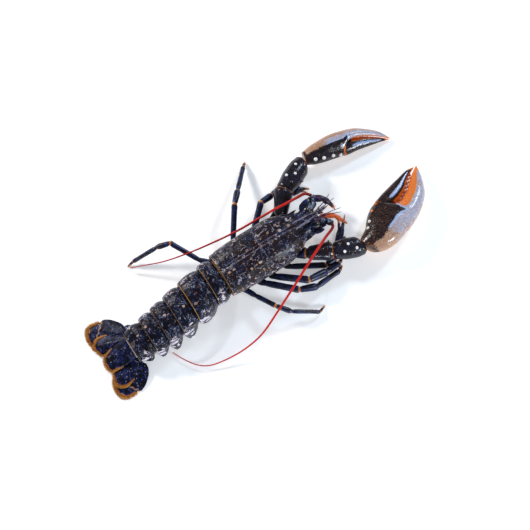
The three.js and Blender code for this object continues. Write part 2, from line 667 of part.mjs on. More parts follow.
function clawParts(name) {
  const { finger, knobs, teeth, ...claw } = claws[name];
  const matrix = clawMatrix(name);
  const root = arms[name].joints[3];
  const clawNormal = bisector(arms[name].joints[2], root, claw.tip);
  const palmLines = [claw.inner, claw.outer, claw.thick].map(through);
  const fingerLines = [finger.inner, finger.outer, finger.thick].map(through);
  const steps = [...palmSteps, 0.96 * claw.length, claw.length];
  const fingerSteps = fingerShares.map((share) => finger.from + (finger.to - finger.from) * share);
  const toothRow = (edge, way, offset) => Array.from({ length: teeth.count }, (_, i) => {
    const s = teeth.from + teeth.step * (i + offset);
    const radius = teeth.radius * (1 - 0.06 * i) * (i % 2 ? 0.85 : 1);
    return bump(v(s, edge(s) + way * radius * 0.35, 0).applyMatrix4(matrix), radius, 6, 4);
  });
  const palmTeeth = toothRow(palmLines[0], -1, 0);
  const palmKnobs = knobs.map(([s, angle]) =>
    bump(clawSkin(matrix, palmLines, s, deg(angle), -0.5 * knobRadius), knobRadius, 6, 4));
  const halfSize = 30;
  const wristBlock = new THREE.BoxGeometry(2 * halfSize, 2 * halfSize, 2 * halfSize);
  wristBlock.translate(0, 0, halfGap - halfSize);
  wristBlock.applyQuaternion(new THREE.Quaternion().setFromUnitVectors(upward, clawNormal));
  const wrist = solidOf(wristBlock.translate(root.x, root.y, root.z));
  const fixed = joined([clawBody(matrix, steps, palmLines, 16), ...palmTeeth, ...palmKnobs]);
  const fingerTeeth = toothRow(fingerLines[1], 1, 0.5);
  const moving = joined([clawBody(matrix, fingerSteps, fingerLines, 12), ...fingerTeeth]);
  const clearOfPalm = joined([clawBody(matrix, steps, palmLines, 16, gap), ...palmTeeth]);
  return { palm: onFloor(carved(fixed, wrist)), finger: onFloor(carved(moving, clearOfPalm)) };
}

// Abdomen: six overlapping rings with side lobes that reach down to the floor
const abdomenLine = through([
  [-150, -11.6], [-110, -11.4], [-85, -10.6], [-60, -7.6], [-35, -3.8], [-12, -0.8], [0, 0],
]);
const abdomenWidth = through([
  [-121, 17], [-112, 19.2], [-100, 20.6], [-84, 22.2], [-66, 23.2], [-45, 24], [-18, 24.2], [0, 22.8],
]);
const abdomenRoof = through([
  [-121, 25.5], [-110, 30.5], [-100, 34], [-84, 38.5], [-66, 42.2], [-45, 45], [-18, 47], [0, 46],
]);
// lobe: share of the side lobe's full drop; tip: its height; back: where it is deepest; flare: spread
const rings = [
  { from: -gap, to: -18, lobe: 0.3, tip: 15, back: 0.7, flare: 0 },
  { from: -18, to: -45, lobe: 1, tip: 0.6, back: 0.6, flare: 0.8 },
  { from: -45, to: -66, lobe: 1, tip: 0, back: 0.72, flare: 2.6 },
  { from: -66, to: -84, lobe: 1, tip: 0, back: 0.74, flare: 3.8 },
  { from: -84, to: -100, lobe: 1, tip: 0, back: 0.76, flare: 3 },
  { from: -100, to: -121, lobe: 0.55, tip: 5.4, back: 0.6, flare: 0.6 },
];
const lobeShare = through([[0, 0.12], [0.22, 0.62], [0.5, 0.97], [0.72, 1], [0.9, 0.66], [1, 0.22]]);
const ringSwell = through([[0, -2.4], [0.1, -1.5], [0.25, 0.2], [0.55, 1.3], [0.85, 1.1], [1, 0.4]]);

// share runs from the front to the back of ring number n
function abdomenRing(n, share, count, grow) {
  const { from, to, lobe, tip, back, flare } = rings[n];
  const x = from + (to - from + (n < rings.length - 1 ? gap : 0)) * share;
  const swell = ringSwell(share) + grow;
  const centre = abdomenLine(x);
  const width = abdomenWidth(x) + swell;
  const roof = abdomenRoof(x) + swell;
  const side = 0.42 * roof;
  const reach = lobeShare(share ** (Math.log(0.66) / Math.log(back))) * lobe;
  const low = side - (side - tip) * Math.max(reach, 0.3);
  const outer = Array.from({ length: count }, (_, i) => {
    const angle = (Math.PI * i) / (count - 1);
    const y = width * signedPower(Math.cos(angle), 0.82);
    return v(x, centre + y, side + (roof - side) * Math.sin(angle) ** 0.86);
  });
  const spread = flare * Math.min(1, reach);
  const wallShape = [
    [0.5 * spread - 0.2, 0.5], [spread - 0.6, 0.94], [spread - 1.8, 1],
    [spread - 3.4 - 2 * grow, 0.9], [-6.4 - 2 * grow, 0.42],
  ];
  const wall = (way) => wallShape.map(([out, drop]) =>
    v(x, centre + way * (width + out), side - (side - low) * drop - grow));
  const belly = Math.max(low + 1, Math.min(side - 3, 12)) - grow;
  const under = [-0.4, 0.4].map((share) => v(x, centre + width * share, belly));
  return [...outer, ...wall(-1), ...under, ...wall(1).reverse()];
}

const ringShares = [0, 0.08, 0.2, 0.36, 0.54, 0.68, 0.8, 0.91, 1];

// Swimmerets: a pair of small paddles under each of rings two to five
function swimmerets(n) {
  const { from, to } = rings[n];
  const x = from + (to - from) * 0.45;
  return Object.values(sides).map((side) => {
    const y = abdomenLine(x) + side * 8.5;
    const shares = [[0, 2, 1.4], [0.3, 3.4, 1.1], [0.7, 3.6, 0.9], [1, 1.4, 0.6]];
    const section = [[1, 0], [0.5, 1], [-0.5, 1], [-1, 0], [-0.5, -1], [0.5, -1]];
    return loft(shares.map(([share, half, thick]) => {
      const centre = v(x - 10 * share, y + side * 1.5 * share, 13.4 - 8.4 * share);
      return section.map(([a, b]) =>
        v(centre.x + 0.6 * thick * b, centre.y + half * a, centre.z + thick * b));
    }));
  });
}

function abdomenPart(n, grow = 0) {
  const shell = loft(ringShares.map((share) => abdomenRing(n, share, 15, grow)));
  const paddles = n >= 1 && n <= 4 && grow === 0 ? swimmerets(n) : [];
  return onFloor(joined([shell, ...paddles]));
}

// Tail fan: a middle plate and two paddles on each side, each a thin domed blade
const bladeShares = [0, 0.04, 0.12, 0.25, 0.4, 0.55, 0.7, 0.82, 0.91, 0.97, 1];

function blade({ root, heading, length, inner, outer, heights, thick, side, grow = 0, count = 12 }) {
  const [innerLine, outerLine, heightLine, thickLine] = [inner, outer, heights, thick].map(through);
  const direction = v(-Math.cos(deg(heading)), side * Math.sin(deg(heading)), 0);
  const across = v(Math.sin(deg(heading)), side * Math.cos(deg(heading)), 0);
  return loft(bladeShares.map((share) => {
    const [low, high] = [innerLine(share), outerLine(share)];
    const half = (high - low) / 2 + grow;
    return Array.from({ length: count }, (_, i) => {
      const angle = (2 * Math.PI * i) / count;
      const p = half * Math.cos(angle);
      const dome = 1.3 * (1 - (p / half) ** 2) * Math.min(1, half / 10);
      const swell = (thickLine(share) + grow) * signedPower(Math.sin(angle), 0.7);
      const point = v(root[0], root[1], 0).addScaledVector(direction, share * length);
      point.addScaledVector(across, (low + high) / 2 + p);
      return point.setZ(heightLine(share) + dome + swell);
    });
  }));
}

const tailLine = -11.4;
const fanPlates = {
  telson: {
    root: [abdomenEnd - gap, tailLine], heading: 0, side: 1, length: 35.4,
    inner: [[0, -12], [0.3, -12.4], [0.7, -12], [0.88, -11.2], [0.96, -8], [1, -4]],
    outer: [[0, 12.4], [0.3, 12.4], [0.7, 11.4], [0.86, 9.4], [0.95, 6], [1, 1]],
    heights: [[0, 14.4], [0.3, 11.4], [0.7, 7.6], [1, 5.2]],
    thick: [[0, 5.4], [0.25, 2.8], [0.6, 1.4], [0.86, 0.9], [1, 0.5]],
  },
  endopod: {
    root: [-121, 11.5], headings: { left: 22, right: 23 }, length: 39,
    inner: [[0, -4.5], [0.3, -9], [0.6, -13], [0.76, -13], [0.89, -7.6], [1, -3]],
    outer: [[0, 4], [0.3, 8], [0.6, 10.6], [0.8, 9.6], [0.92, 5.6], [1, -1]],
    heights: [[0, 9], [0.3, 6.8], [0.7, 4.4], [1, 2.8]],
    thick: [[0, 2.6], [0.25, 1.4], [0.6, 0.9], [1, 0.5]],
  },
  exopod: {
    root: [-119, 17.5], headings: { left: 46, right: 35 }, length: 45.5,
    inner: [
      [0, -4], [0.2, -10], [0.4, -18], [0.57, -23.5], [0.69, -22.6], [0.87, -17], [0.96, -11], [1, -6],
    ],
    outer: [[0, 5], [0.1, 9.6], [0.25, 12.2], [0.45, 13], [0.6, 12], [0.78, 8], [0.95, 1.7], [1, -3]],
    heights: [[0, 6.4], [0.3, 3.6], [0.7, 1.1], [1, 0.4]],
    thick: [[0, 2.4], [0.25, 1.4], [0.6, 0.9], [1, 0.5]],
  },
};

// The short stub on each side of ring six that carries two paddles
const fanStubs = {
  left: { root: v(-108, 0.6, 12), end: v(-117.4, 11, 7.6) },
  right: { root: v(-106.5, -22.8, 12), end: v(-112.6, -32, 7.6) },
};

function fanStub(name, grow, cutters) {
  const shares = [[0, 5, 5], [0.3, 6.4, 5.6], [0.75, 6.6, 4.6], [1, 5, 3.2]];
  const shape = shares.map(([share, w, d]) => [share, w + grow, d + grow]);
  const { root, end } = fanStubs[name];
  return carved(limb([root, end], [shape], { sideCount: 9 }), ...cutters);
}

// Colours and finishes
const finish = (color, roughness) => new THREE.MeshStandardMaterial({ color, roughness, metalness: 0 });
const finishes = {
  shell: finish(0x1b1d2b, 0.35),
  claw: finish(0x33241f, 0.3),
  limb: finish(0x1a2148, 0.35),
  feeler: finish(0xb4281c, 0.4),
  eye: finish(0x08080a, 0.1),
  fan: finish(0x171d40, 0.35),
  belly: finish(0xb98a6a, 0.5),
};

const lobster = new THREE.Group();

function add(name, solid, material) {
  const mesh = solid.getMesh();
  const positions = new Float32Array(mesh.numVert * 3);
  for (let i = 0; i < mesh.numVert; i++) {
    const from = i * mesh.numProp;
    positions.set(mesh.vertProperties.subarray(from, from + 3), i * 3);
  }
  const geometry = new THREE.BufferGeometry();
  geometry.setAttribute("position", new THREE.BufferAttribute(positions, 3));
  geometry.setIndex(new THREE.BufferAttribute(mesh.triVerts, 1));
  geometry.computeVertexNormals();
  const node = new THREE.Mesh(geometry, finishes[material]);
  node.name = name;
  lobster.add(node);
}

add("carapace", carapace(), "shell");
add("sternum", sternum(), "belly");
add("head", head(), "shell");
rings.forEach((_, n) => add(`abdomen_${n + 1}`, abdomenPart(n), "shell"));
add("telson", onFloor(blade(fanPlates.telson)), "fan");

for (const [name, side] of Object.entries(sides)) {
  add(`eye_${name}`, eye(side), "eye");
  add(`eye_stalk_${name}`, eyeStalk(side), "limb");
  add(`antenna_stem_${name}`, antennaStem(side, name), "limb");
  add(`antenna_root_${name}`, whip(name, 0, whipSplit), "feeler");
  add(`antenna_tip_${name}`, whip(name, whipSplit, whipSteps), "feeler");
  add(`antennule_${name}`, antennule(side), "feeler");
  add(`maxilliped_${name}`, maxilliped(name), "limb");

  const arm = armParts(name);
  const claw = clawParts(name);
  add(`claw_hip_${name}`, arm.hip, "limb");
  add(`claw_arm_${name}`, arm.merus, "claw");
  add(`claw_wrist_${name}`, arm.carpus, "claw");
  add(`claw_palm_${name}`, claw.palm, "claw");
  add(`claw_finger_${name}`, claw.finger, "claw");

  const lastRings = [abdomenPart(5, gap), abdomenPart(4, gap)];
  add(`fan_stub_${name}`, fanStub(name, 0, lastRings), "shell");
  const above = [fanStub(name, gap, []), blade({ ...fanPlates.telson, grow: gap }), ...lastRings];
  for (const kind of ["endopod", "exopod"]) {
    const { root, headings, ...plate } = fanPlates[kind];
    const place = [root[0], tailLine + side * root[1]];
    const paddle = { ...plate, side, root: place, heading: headings[name] };
    add(`fan_${kind}_${name}`, onFloor(carved(blade(paddle), ...above)), "fan");
    above.push(blade({ ...paddle, grow: gap }));
  }
}

for (const [name, leg] of Object.entries(legs)) {
  const [upper, lower] = legParts(leg, name.endsWith("left") ? 1 : -1);
  add(`${name}_upper`, upper, "limb");
  add(`${name}_lower`, lower, "limb");
}

// The origin is under the middle of the whole animal, on the floor
const bounds = new THREE.Box3().setFromObject(lobster);
const middle = bounds.getCenter(v(0, 0, 0));
lobster.position.set(-middle.x, -middle.y, 0);

export default lobster;
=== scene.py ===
import math
import bpy
import numpy as np
from mathutils import Matrix, Vector


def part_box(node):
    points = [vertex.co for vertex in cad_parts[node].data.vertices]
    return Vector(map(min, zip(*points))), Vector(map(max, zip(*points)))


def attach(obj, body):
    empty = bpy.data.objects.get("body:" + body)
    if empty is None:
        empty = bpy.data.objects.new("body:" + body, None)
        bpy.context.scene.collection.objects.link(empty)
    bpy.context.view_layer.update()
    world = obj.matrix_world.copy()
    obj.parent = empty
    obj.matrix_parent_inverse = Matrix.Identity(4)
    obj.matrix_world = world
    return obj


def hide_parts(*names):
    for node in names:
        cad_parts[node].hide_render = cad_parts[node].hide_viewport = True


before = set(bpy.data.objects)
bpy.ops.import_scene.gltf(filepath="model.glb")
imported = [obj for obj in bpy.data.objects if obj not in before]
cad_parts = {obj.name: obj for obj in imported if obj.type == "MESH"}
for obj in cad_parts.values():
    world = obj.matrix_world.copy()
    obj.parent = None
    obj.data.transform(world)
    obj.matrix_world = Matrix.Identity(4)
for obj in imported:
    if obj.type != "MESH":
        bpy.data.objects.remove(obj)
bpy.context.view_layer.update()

# The body is worked out in millimetres, x = 0 at the back edge of the carapace,
# +X to the head, +Y to the animal's left, z = 0 on the floor. The frame's own origin
# is elsewhere on the floor, so every piece is moved by the same shift.
eyeSpot = np.array([115.5, 9.8, 38.5])
eyeLow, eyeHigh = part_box("eye_left")
eyeMiddle = (np.array(eyeLow) + np.array(eyeHigh)) * 500
shift = np.array([eyeMiddle[0] - eyeSpot[0], eyeMiddle[1] - eyeSpot[1], 0.0])
sides = {"left": 1, "right": -1}
upward = np.array([0.0, 0.0, 1.0])
forward = np.array([1.0, 0.0, 0.0])
leftward = np.array([0.0, 1.0, 0.0])
floorLift = 0.15  # nothing goes closer to the floor than this
halfGap = 0.15  # from the middle of a joint to the piece on either side


# Small maths
def vec(*values):
    return np.array(values, float)


def vecs(points):
    return [vec(*p) for p in points]


def mirrored(point, side):
    return vec(point[0], side * point[1], point[2])


def unit(v):
    v = np.asarray(v, float)
    return v / np.linalg.norm(v, axis=-1, keepdims=True)


def bisector(a, b, c):
    return unit(unit(b - a) + unit(c - b))


def signedPower(value, power):
    return np.sign(value) * np.abs(value) ** power


def bell(distance, width):
    return np.exp(-((distance / width) ** 2))


def smoothStep(value, low, high):
    t = np.clip((value - low) / (high - low), 0, 1)
    return t * t * (3 - 2 * t)


# 0, then up to 1 from a to b, and down to 0 again from c to d
def between(value, a, b, c, d):
    return smoothStep(value, a, b) * (1 - smoothStep(value, c, d))


# Places along a piece, in order and each once
def places(*rows):
    return np.unique(np.concatenate(rows))


# Places that crowd together towards high
def closing(low, high, count):
    return low + (high - low) * np.linspace(0, 1, count) ** 0.6


# Rows and columns of points from their coordinates
def pointsAt(*coordinates):
    return np.stack(np.broadcast_arrays(*coordinates), -1)


def turns(count):
    return np.linspace(0, 2 * math.pi, count, endpoint=False)


# Points round a circle whose axes are a and b
def circle(angle, a, b):
    return np.cos(angle)[:, None] * a + np.sin(angle)[:, None] * b


def runAlong(line):
    return np.concatenate([[0], np.cumsum(np.linalg.norm(np.diff(line, axis=0), axis=1))])


# A smooth line through [position, value] stations that doesn't overshoot them
def through(stations):
    xs, ys = np.array(stations, float).T
    slope = np.diff(ys) / np.diff(xs)
    product = slope[:-1] * slope[1:]
    total = slope[:-1] + slope[1:]
    middle = np.where(product > 0, 2 * product / np.where(total == 0, 1, total), 0)
    tangent = np.concatenate([slope[:1], middle, slope[-1:]])

    def value(x):
        x = np.clip(np.asarray(x, float), xs[0], xs[-1])
        i = np.clip(np.searchsorted(xs, x, side="right") - 1, 0, len(xs) - 2)
        h = xs[i + 1] - xs[i]
        t = (x - xs[i]) / h
        rise = t * t * (3 - 2 * t)
        bend = h * t * (1 - t) * (tangent[i] * (1 - t) - tangent[i + 1] * t)
        return ys[i] * (1 - rise) + ys[i + 1] * rise + bend

    return value


# The lines of a piece, by the names that its dictionary gives them
def linesOf(piece, *names):
    return [through(piece[name]) for name in names]


# Points of a path (..., K, 3) sampled again at count places on a Catmull-Rom line
def resample(path, count):
    path = np.asarray(path, float)
    last = path.shape[-2] - 1
    place = np.linspace(0, last, count)
    i = np.clip(place.astype(int), 0, last - 1)
    t = (place - i)[:, None]
    before, a, b, after = (path[..., np.clip(i + step, 0, last), :] for step in (-1, 0, 1, 2))
    return 0.5 * (
        2 * a + (b - before) * t + (2 * before - 5 * a + 4 * b - after) * t ** 2
        + (3 * a - before - 3 * b + after) * t ** 3
    )


# Mesh parts: points in mm, faces, and marks, which are one number for each point.
# A lip draws the first or last ring in by that many mm and leaves the marks outside it.
def sheath(rings, marks=None, lips=(0, 0)):
    rings = np.asarray(rings, float)
    marks = {name: np.broadcast_to(mark, rings.shape[:2]) for name, mark in (marks or {}).items()}
    for lip, end in zip(lips, (0, -1)):
        if lip:
            inner = rings[end] + unit(rings[end].mean(0) - rings[end]) * lip
            place = len(rings) if end else 0
            rings = np.insert(rings, place, inner, axis=0)
            marks = {name: np.insert(mark, place, 0, axis=0) for name, mark in marks.items()}
    count, around = rings.shape[:2]
    points = np.vstack([rings.reshape(-1, 3), rings[0].mean(0), rings[-1].mean(0)])
    i = np.arange(around)
    following = (i + 1) % around
    base = (np.arange(count - 1) * around)[:, None]
    quads = np.stack([base + i, base + following, base + around + following, base + around + i], -1)
    first, tail = count * around, (count - 1) * around
    start = np.stack([np.full(around, first), following, i], -1)
    end = np.stack([np.full(around, first + 1), tail + i, tail + following], -1)
    faces = quads.reshape(-1, 4).tolist() + start.tolist() + end.tolist()
    values = {name: np.append(mark, [mark[0].mean(), mark[-1].mean()]) for name, mark in marks.items()}
    return turnedOut({"points": points, "faces": faces, "marks": values})


def turnedOut(part):
    triangles = [(f[0], f[i], f[i + 1]) for f in part["faces"] for i in range(1, len(f) - 1)]
    a, b, c = part["points"][np.array(triangles).T]
    if np.einsum("ij,ij->", a, np.cross(b, c)) < 0:
        part["faces"] = [face[::-1] for face in part["faces"]]
    return part


# A rounded knob: a squash below 1 makes it lower along its axis
def knob(centre, radius, marks=None, axis=upward, squash=1.0, across=14, down=9):
    lift = np.linspace(-math.pi / 2, math.pi / 2, down + 2)[1:-1, None, None]
    axis = unit(axis)
    side = unit(np.cross(axis, forward if abs(axis[0]) < 0.9 else upward))
    ring = circle(turns(across), side, np.cross(axis, side))
    return sheath(centre + radius * (squash * np.sin(lift) * axis + np.cos(lift) * ring), marks)


# A curved thorn whose root is sunk into what it grows from
def thorn(root, direction, length, radius, marks=None, bend=0.0):
    direction = unit(direction)
    side = unit(np.cross(direction, upward + 0.01 * forward))
    share = np.linspace(-0.25, 1, 12)[:, None]
    rise = np.maximum(share, 0)
    thick = radius * (1 - rise ** 1.3) ** 0.9 + 0.06
    centres = root + direction * length * share + upward * bend * length * rise ** 2
    ring = circle(turns(10), side, np.cross(direction, side))
    marks = dict(marks or {})
    if "tip" in marks:
        marks["warm"] = marks.pop("tip") * rise ** 1.5
    return sheath(centres[:, None] + thick[..., None] * ring, marks)


def allParts(parts):
    points, faces, offset = [], [], 0
    marks = {name: [] for name in sorted({name for part in parts for name in part["marks"]})}
    for part in parts:
        points.append(part["points"])
        faces += [[i + offset for i in face] for face in part["faces"]]
        offset += len(part["points"])
        for name, values in marks.items():
            values.append(part["marks"].get(name, np.zeros(len(part["points"]))))
    return np.vstack(points), faces, {name: np.concatenate(values) for name, values in marks.items()}


def linked(name, data):
    thing = bpy.data.objects.new(name, data)
    bpy.context.scene.collection.objects.link(thing)
    return thing


def writeMark(mesh, name, values):
    kind, field = ("FLOAT", "value") if values.ndim == 1 else ("FLOAT_VECTOR", "vector")
    layer = mesh.attributes.new(name, kind, "POINT")
    layer.data.foreach_set(field, values.astype(np.float32).ravel())


# One object of the mesh, on the body, with the parts it replaces hidden
def addPiece(name, mesh, replaced=()):
    piece = linked(name, mesh)
    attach(piece, "root")
    if replaced:
        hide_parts(*replaced)


def makePiece(name, parts, material, replaced=(), sharpAngle=38):
    points, faces, marks = allParts(parts)
    points[:, 2] = np.maximum(points[:, 2], floorLift)
    mesh = bpy.data.meshes.new(name)
    mesh.from_pydata(((points + shift) * 0.001).tolist(), [], faces)
    for mark, values in marks.items():
        writeMark(mesh, mark, values)
    mesh.shade_smooth()
    mesh.set_sharp_from_angle(angle=math.radians(sharpAngle))
    mesh.materials.append(material)
    addPiece(name, mesh, replaced)


# Shader maths: a socket whose operators add Math nodes
class Signal:
    def __init__(self, paint, socket):
        self.paint = paint
        self.socket = socket

    def math(self, operation, *values):
        return self.paint.node("ShaderNodeMath", {"operation": operation}, dict(enumerate(values)))

    def __add__(self, other):
        return self.math("ADD", self, other)

    def __sub__(self, other):
        return self.math("SUBTRACT", self, other)

    def __rsub__(self, other):
        return self.math("SUBTRACT", other, self)

    def __mul__(self, other):
        return self.math("MULTIPLY", self, other)

    __radd__ = __add__
    __rmul__ = __mul__

    # 0 below low, 1 above high, smooth between
    def step(self, low, high):
        settings = {"interpolation_type": "SMOOTHSTEP"}
        return self.paint.node("ShaderNodeMapRange", settings, {0: self, 1: low, 2: high})

    # The same mark with its edges broken up by (noise, strength) pairs
    def frayed(self, *noises):
        total = self
        for noise, strength in noises:
            total = total + (noise - 0.5) * strength
        return total


class Paint:
    def __init__(self, name, **settings):
        self.material = bpy.data.materials.new(name)
        self.material.use_nodes = True
        self.tree = self.material.node_tree
        self.shader = self.tree.nodes["Principled BSDF"]
        for socket, value in settings.items():
            self.shader.inputs[socket.replace("_", " ")].default_value = value
        self.spot = self.node("ShaderNodeTexCoord", {}, {}, "Object")

    # Any node: its settings first, then values or links of its sockets
    def node(self, kind, settings, inputs, output=0):
        node = self.tree.nodes.new(kind)
        for key, value in settings.items():
            setattr(node, key, value)
        for key, value in inputs.items():
            if isinstance(value, Signal):
                self.tree.links.new(value.socket, node.inputs[key])
            else:
                node.inputs[key].default_value = value
        return Signal(self, node.outputs[output])

    def vectors(self, operation, *values):
        return self.node("ShaderNodeVectorMath", {"operation": operation}, dict(enumerate(values)))

    def marks(self, *names):
        return [self.node("ShaderNodeAttribute", {"attribute_name": name}, {}, "Fac") for name in names]

    # The Object coordinates in millimetres, moved and stretched to set a pattern
    def grid(self, stretch=(1, 1, 1), offset=(0, 0, 0)):
        inputs = {"Vector": self.spot, "Location": offset, "Scale": tuple(1000 * s for s in stretch)}
        return self.node("ShaderNodeMapping", {}, inputs)

    # The same coordinates pushed about, so that what is drawn on them has ragged edges
    def ragged(self, size, amount, stretch=(1, 1, 1), offset=(0, 0, 0)):
        inputs = {"Vector": self.grid(offset=offset), "Scale": 1 / size, "Detail": 2.0}
        push = self.vectors("SUBTRACT", self.node("ShaderNodeTexNoise", {}, inputs, 1), (0.5, 0.5, 0.5))
        return self.vectors("MULTIPLY_ADD", push, (amount,) * 3, self.grid(stretch, offset))

    def noise(self, size, detail=3.0, roughness=0.55, stretch=(1, 1, 1), offset=(0, 0, 0), warp=0.0):
        inputs = {
            "Vector": self.grid(stretch, offset), "Scale": 1 / size, "Detail": detail,
            "Roughness": roughness, "Distortion": warp,
        }
        return self.node("ShaderNodeTexNoise", {}, inputs)

    def cells(self, size, randomness):
        inputs = {"Vector": self.grid(), "Scale": 1 / size, "Randomness": randomness}
        return self.node("ShaderNodeTexVoronoi", {}, inputs)

    # Blobs in a share of the cells of this size, with a radius between least and most of a cell
    def flecks(self, size, share, least, most, where):
        distance = self.node("ShaderNodeTexVoronoi", {}, {"Vector": where, "Scale": 1 / size})
        draws = Signal(self, distance.socket.node.outputs["Color"])
        pick, grow, tint = (self.node("ShaderNodeSeparateColor", {}, {0: draws}, i) for i in range(3))
        radius = least + (most - least) * grow
        return (radius - distance).step(0.0, 0.09) * (share - pick).step(0.0, 0.02), tint

    # Thin wandering lines, where a noise passes through its middle value
    def veins(self, size, width, offset):
        away = self.noise(size, 3, 0.6, offset=offset, warp=1.2) - 0.5
        return (width - away.math("ABSOLUTE", away)).step(0.0, width * 0.6)

    def mix(self, share, a, b):
        colours = {6: a if isinstance(a, Signal) else (*a, 1), 7: b if isinstance(b, Signal) else (*b, 1)}
        settings = {"data_type": "RGBA", "clamp_factor": True}
        return self.node("ShaderNodeMix", settings, {0: share, **colours}, 2)

    # A first colour with (share, colour) coats over it
    def coats(self, base, *coats):
        for share, colour in coats:
            base = self.mix(share, base, colour)
        return base

    def ends(self, colour, roughness, height, strength, distance):
        bump = {"Height": height, "Strength": strength, "Distance": distance}
        normal = self.node("ShaderNodeBump", {}, bump)
        for value, name in ((colour, "Base Color"), (roughness, "Roughness"), (normal, "Normal")):
            self.tree.links.new(value.socket, self.shader.inputs[name])
        return self.material


# Finishes
shellLook = {
    "black": (0.004, 0.0045, 0.0085), "blue": (0.009, 0.013, 0.042), "brown": (0.019, 0.0095, 0.0095),
    "cream": (0.62, 0.43, 0.31), "peach": (0.36, 0.15, 0.08), "white": (0.66, 0.62, 0.72),
    "pink": (0.62, 0.42, 0.38), "gold": (0.42, 0.21, 0.04), "lavender": (0.24, 0.22, 0.36),
    "frost": (0.4, 0.46, 0.6),
}


# Dark pitted shell with cream flecks and pale veins; seam picks the thin lines
def shellPaint(name, seamColour, flecked, veinWidth, browned, shine):
    look = shellLook
    p = Paint(name, Roughness=0.2, IOR=shine)
    broad = p.noise(24, 3, 0.6, offset=(3, 1, 0))
    clouds = p.noise(6.5, 4, 0.62, offset=(11, 4, 2), warp=0.6)
    fine = p.noise(1.2, 3, 0.6, offset=(2, 3, 9))
    patchy = p.noise(5.4, 4, 0.6, (0.75, 1, 1), (1, 6, 3), 0.9)
    pits = p.cells(1.1, 0.95)
    pale, white, warm, seam = p.marks("pale", "white", "warm", "seam")
    where = p.ragged(2.0, 2.6, (0.8, 1, 1), (5, 9, 4))
    large, tint = p.flecks(4.6, flecked, 0.16, 0.4, where)
    small, dusk = p.flecks(2.1, flecked * 0.8, 0.16, 0.38, where)
    crowd = (broad + pale * 0.12).step(0.36, 0.56)
    vein = p.veins(6.5, veinWidth, (7, 2, 1)) * (clouds + pale * 0.08).step(0.52, 0.6)
    blots = (patchy + pale * 0.105).step(0.65, 0.672) * pale.step(0.1, 0.5)
    lip = white.frayed((patchy, 1.8)).step(0.5, 0.6)
    base = p.coats(
        look["black"],
        (clouds.step(0.4, 0.6), look["blue"]),
        (broad.step(0.4, 0.6) * browned, look["brown"]),
        (clouds.step(0.54, 0.66) * 0.5, look["black"]),
        (fine.step(0.56, 0.68) * 0.5, look["brown"]),
        (large * (0.2 + 0.8 * tint) * crowd * fine.step(0.3, 0.44), p.mix(tint, look["peach"], look["cream"])),
        (small * crowd * (0.25 + 0.65 * dusk), p.mix(dusk, look["peach"], look["cream"])),
        (vein * fine.step(0.34, 0.46), look["frost"]),
        (blots * 0.95, p.mix(fine.step(0.42, 0.62), look["white"], look["pink"])),
        (warm.frayed((fine, 0.4)).step(0.45, 0.75), look["gold"]),
        (seam.frayed((fine, 0.8)).step(0.42, 0.72) * 0.9, seamColour),
        (lip * 0.95, p.mix(fine.step(0.48, 0.68), look["white"], look["pink"])),
    )
    gloss = 0.12 + 0.22 * fine + 0.15 * large
    height = patchy * 0.9 + clouds * 0.7 + fine * 0.3 + pits.step(0.0, 0.34) * 0.2
    return p.ends(base, gloss, height, 0.7, 0.0008)


# Claw shell: speckled brown-black, pale along the outer margin, orange inside and at the tips
# the shore colour is partly the shell's own bluish margin and partly a painted highlight
clawLook = {
    "black": (0.0085, 0.006, 0.0065), "fleck": (0.2, 0.085, 0.04), "dusk": (0.07, 0.034, 0.03),
    "margin": (0.36, 0.34, 0.42), "pearl": (0.62, 0.6, 0.66), "tan": (0.41, 0.2, 0.085),
    "orange": (0.72, 0.13, 0.014), "amber": (0.8, 0.31, 0.045), "under": (0.55, 0.26, 0.12),
    "white": (0.82, 0.78, 0.74), "blue": (0.01, 0.013, 0.04), "shoreAndHighlight": (0.36, 0.45, 0.7),
}


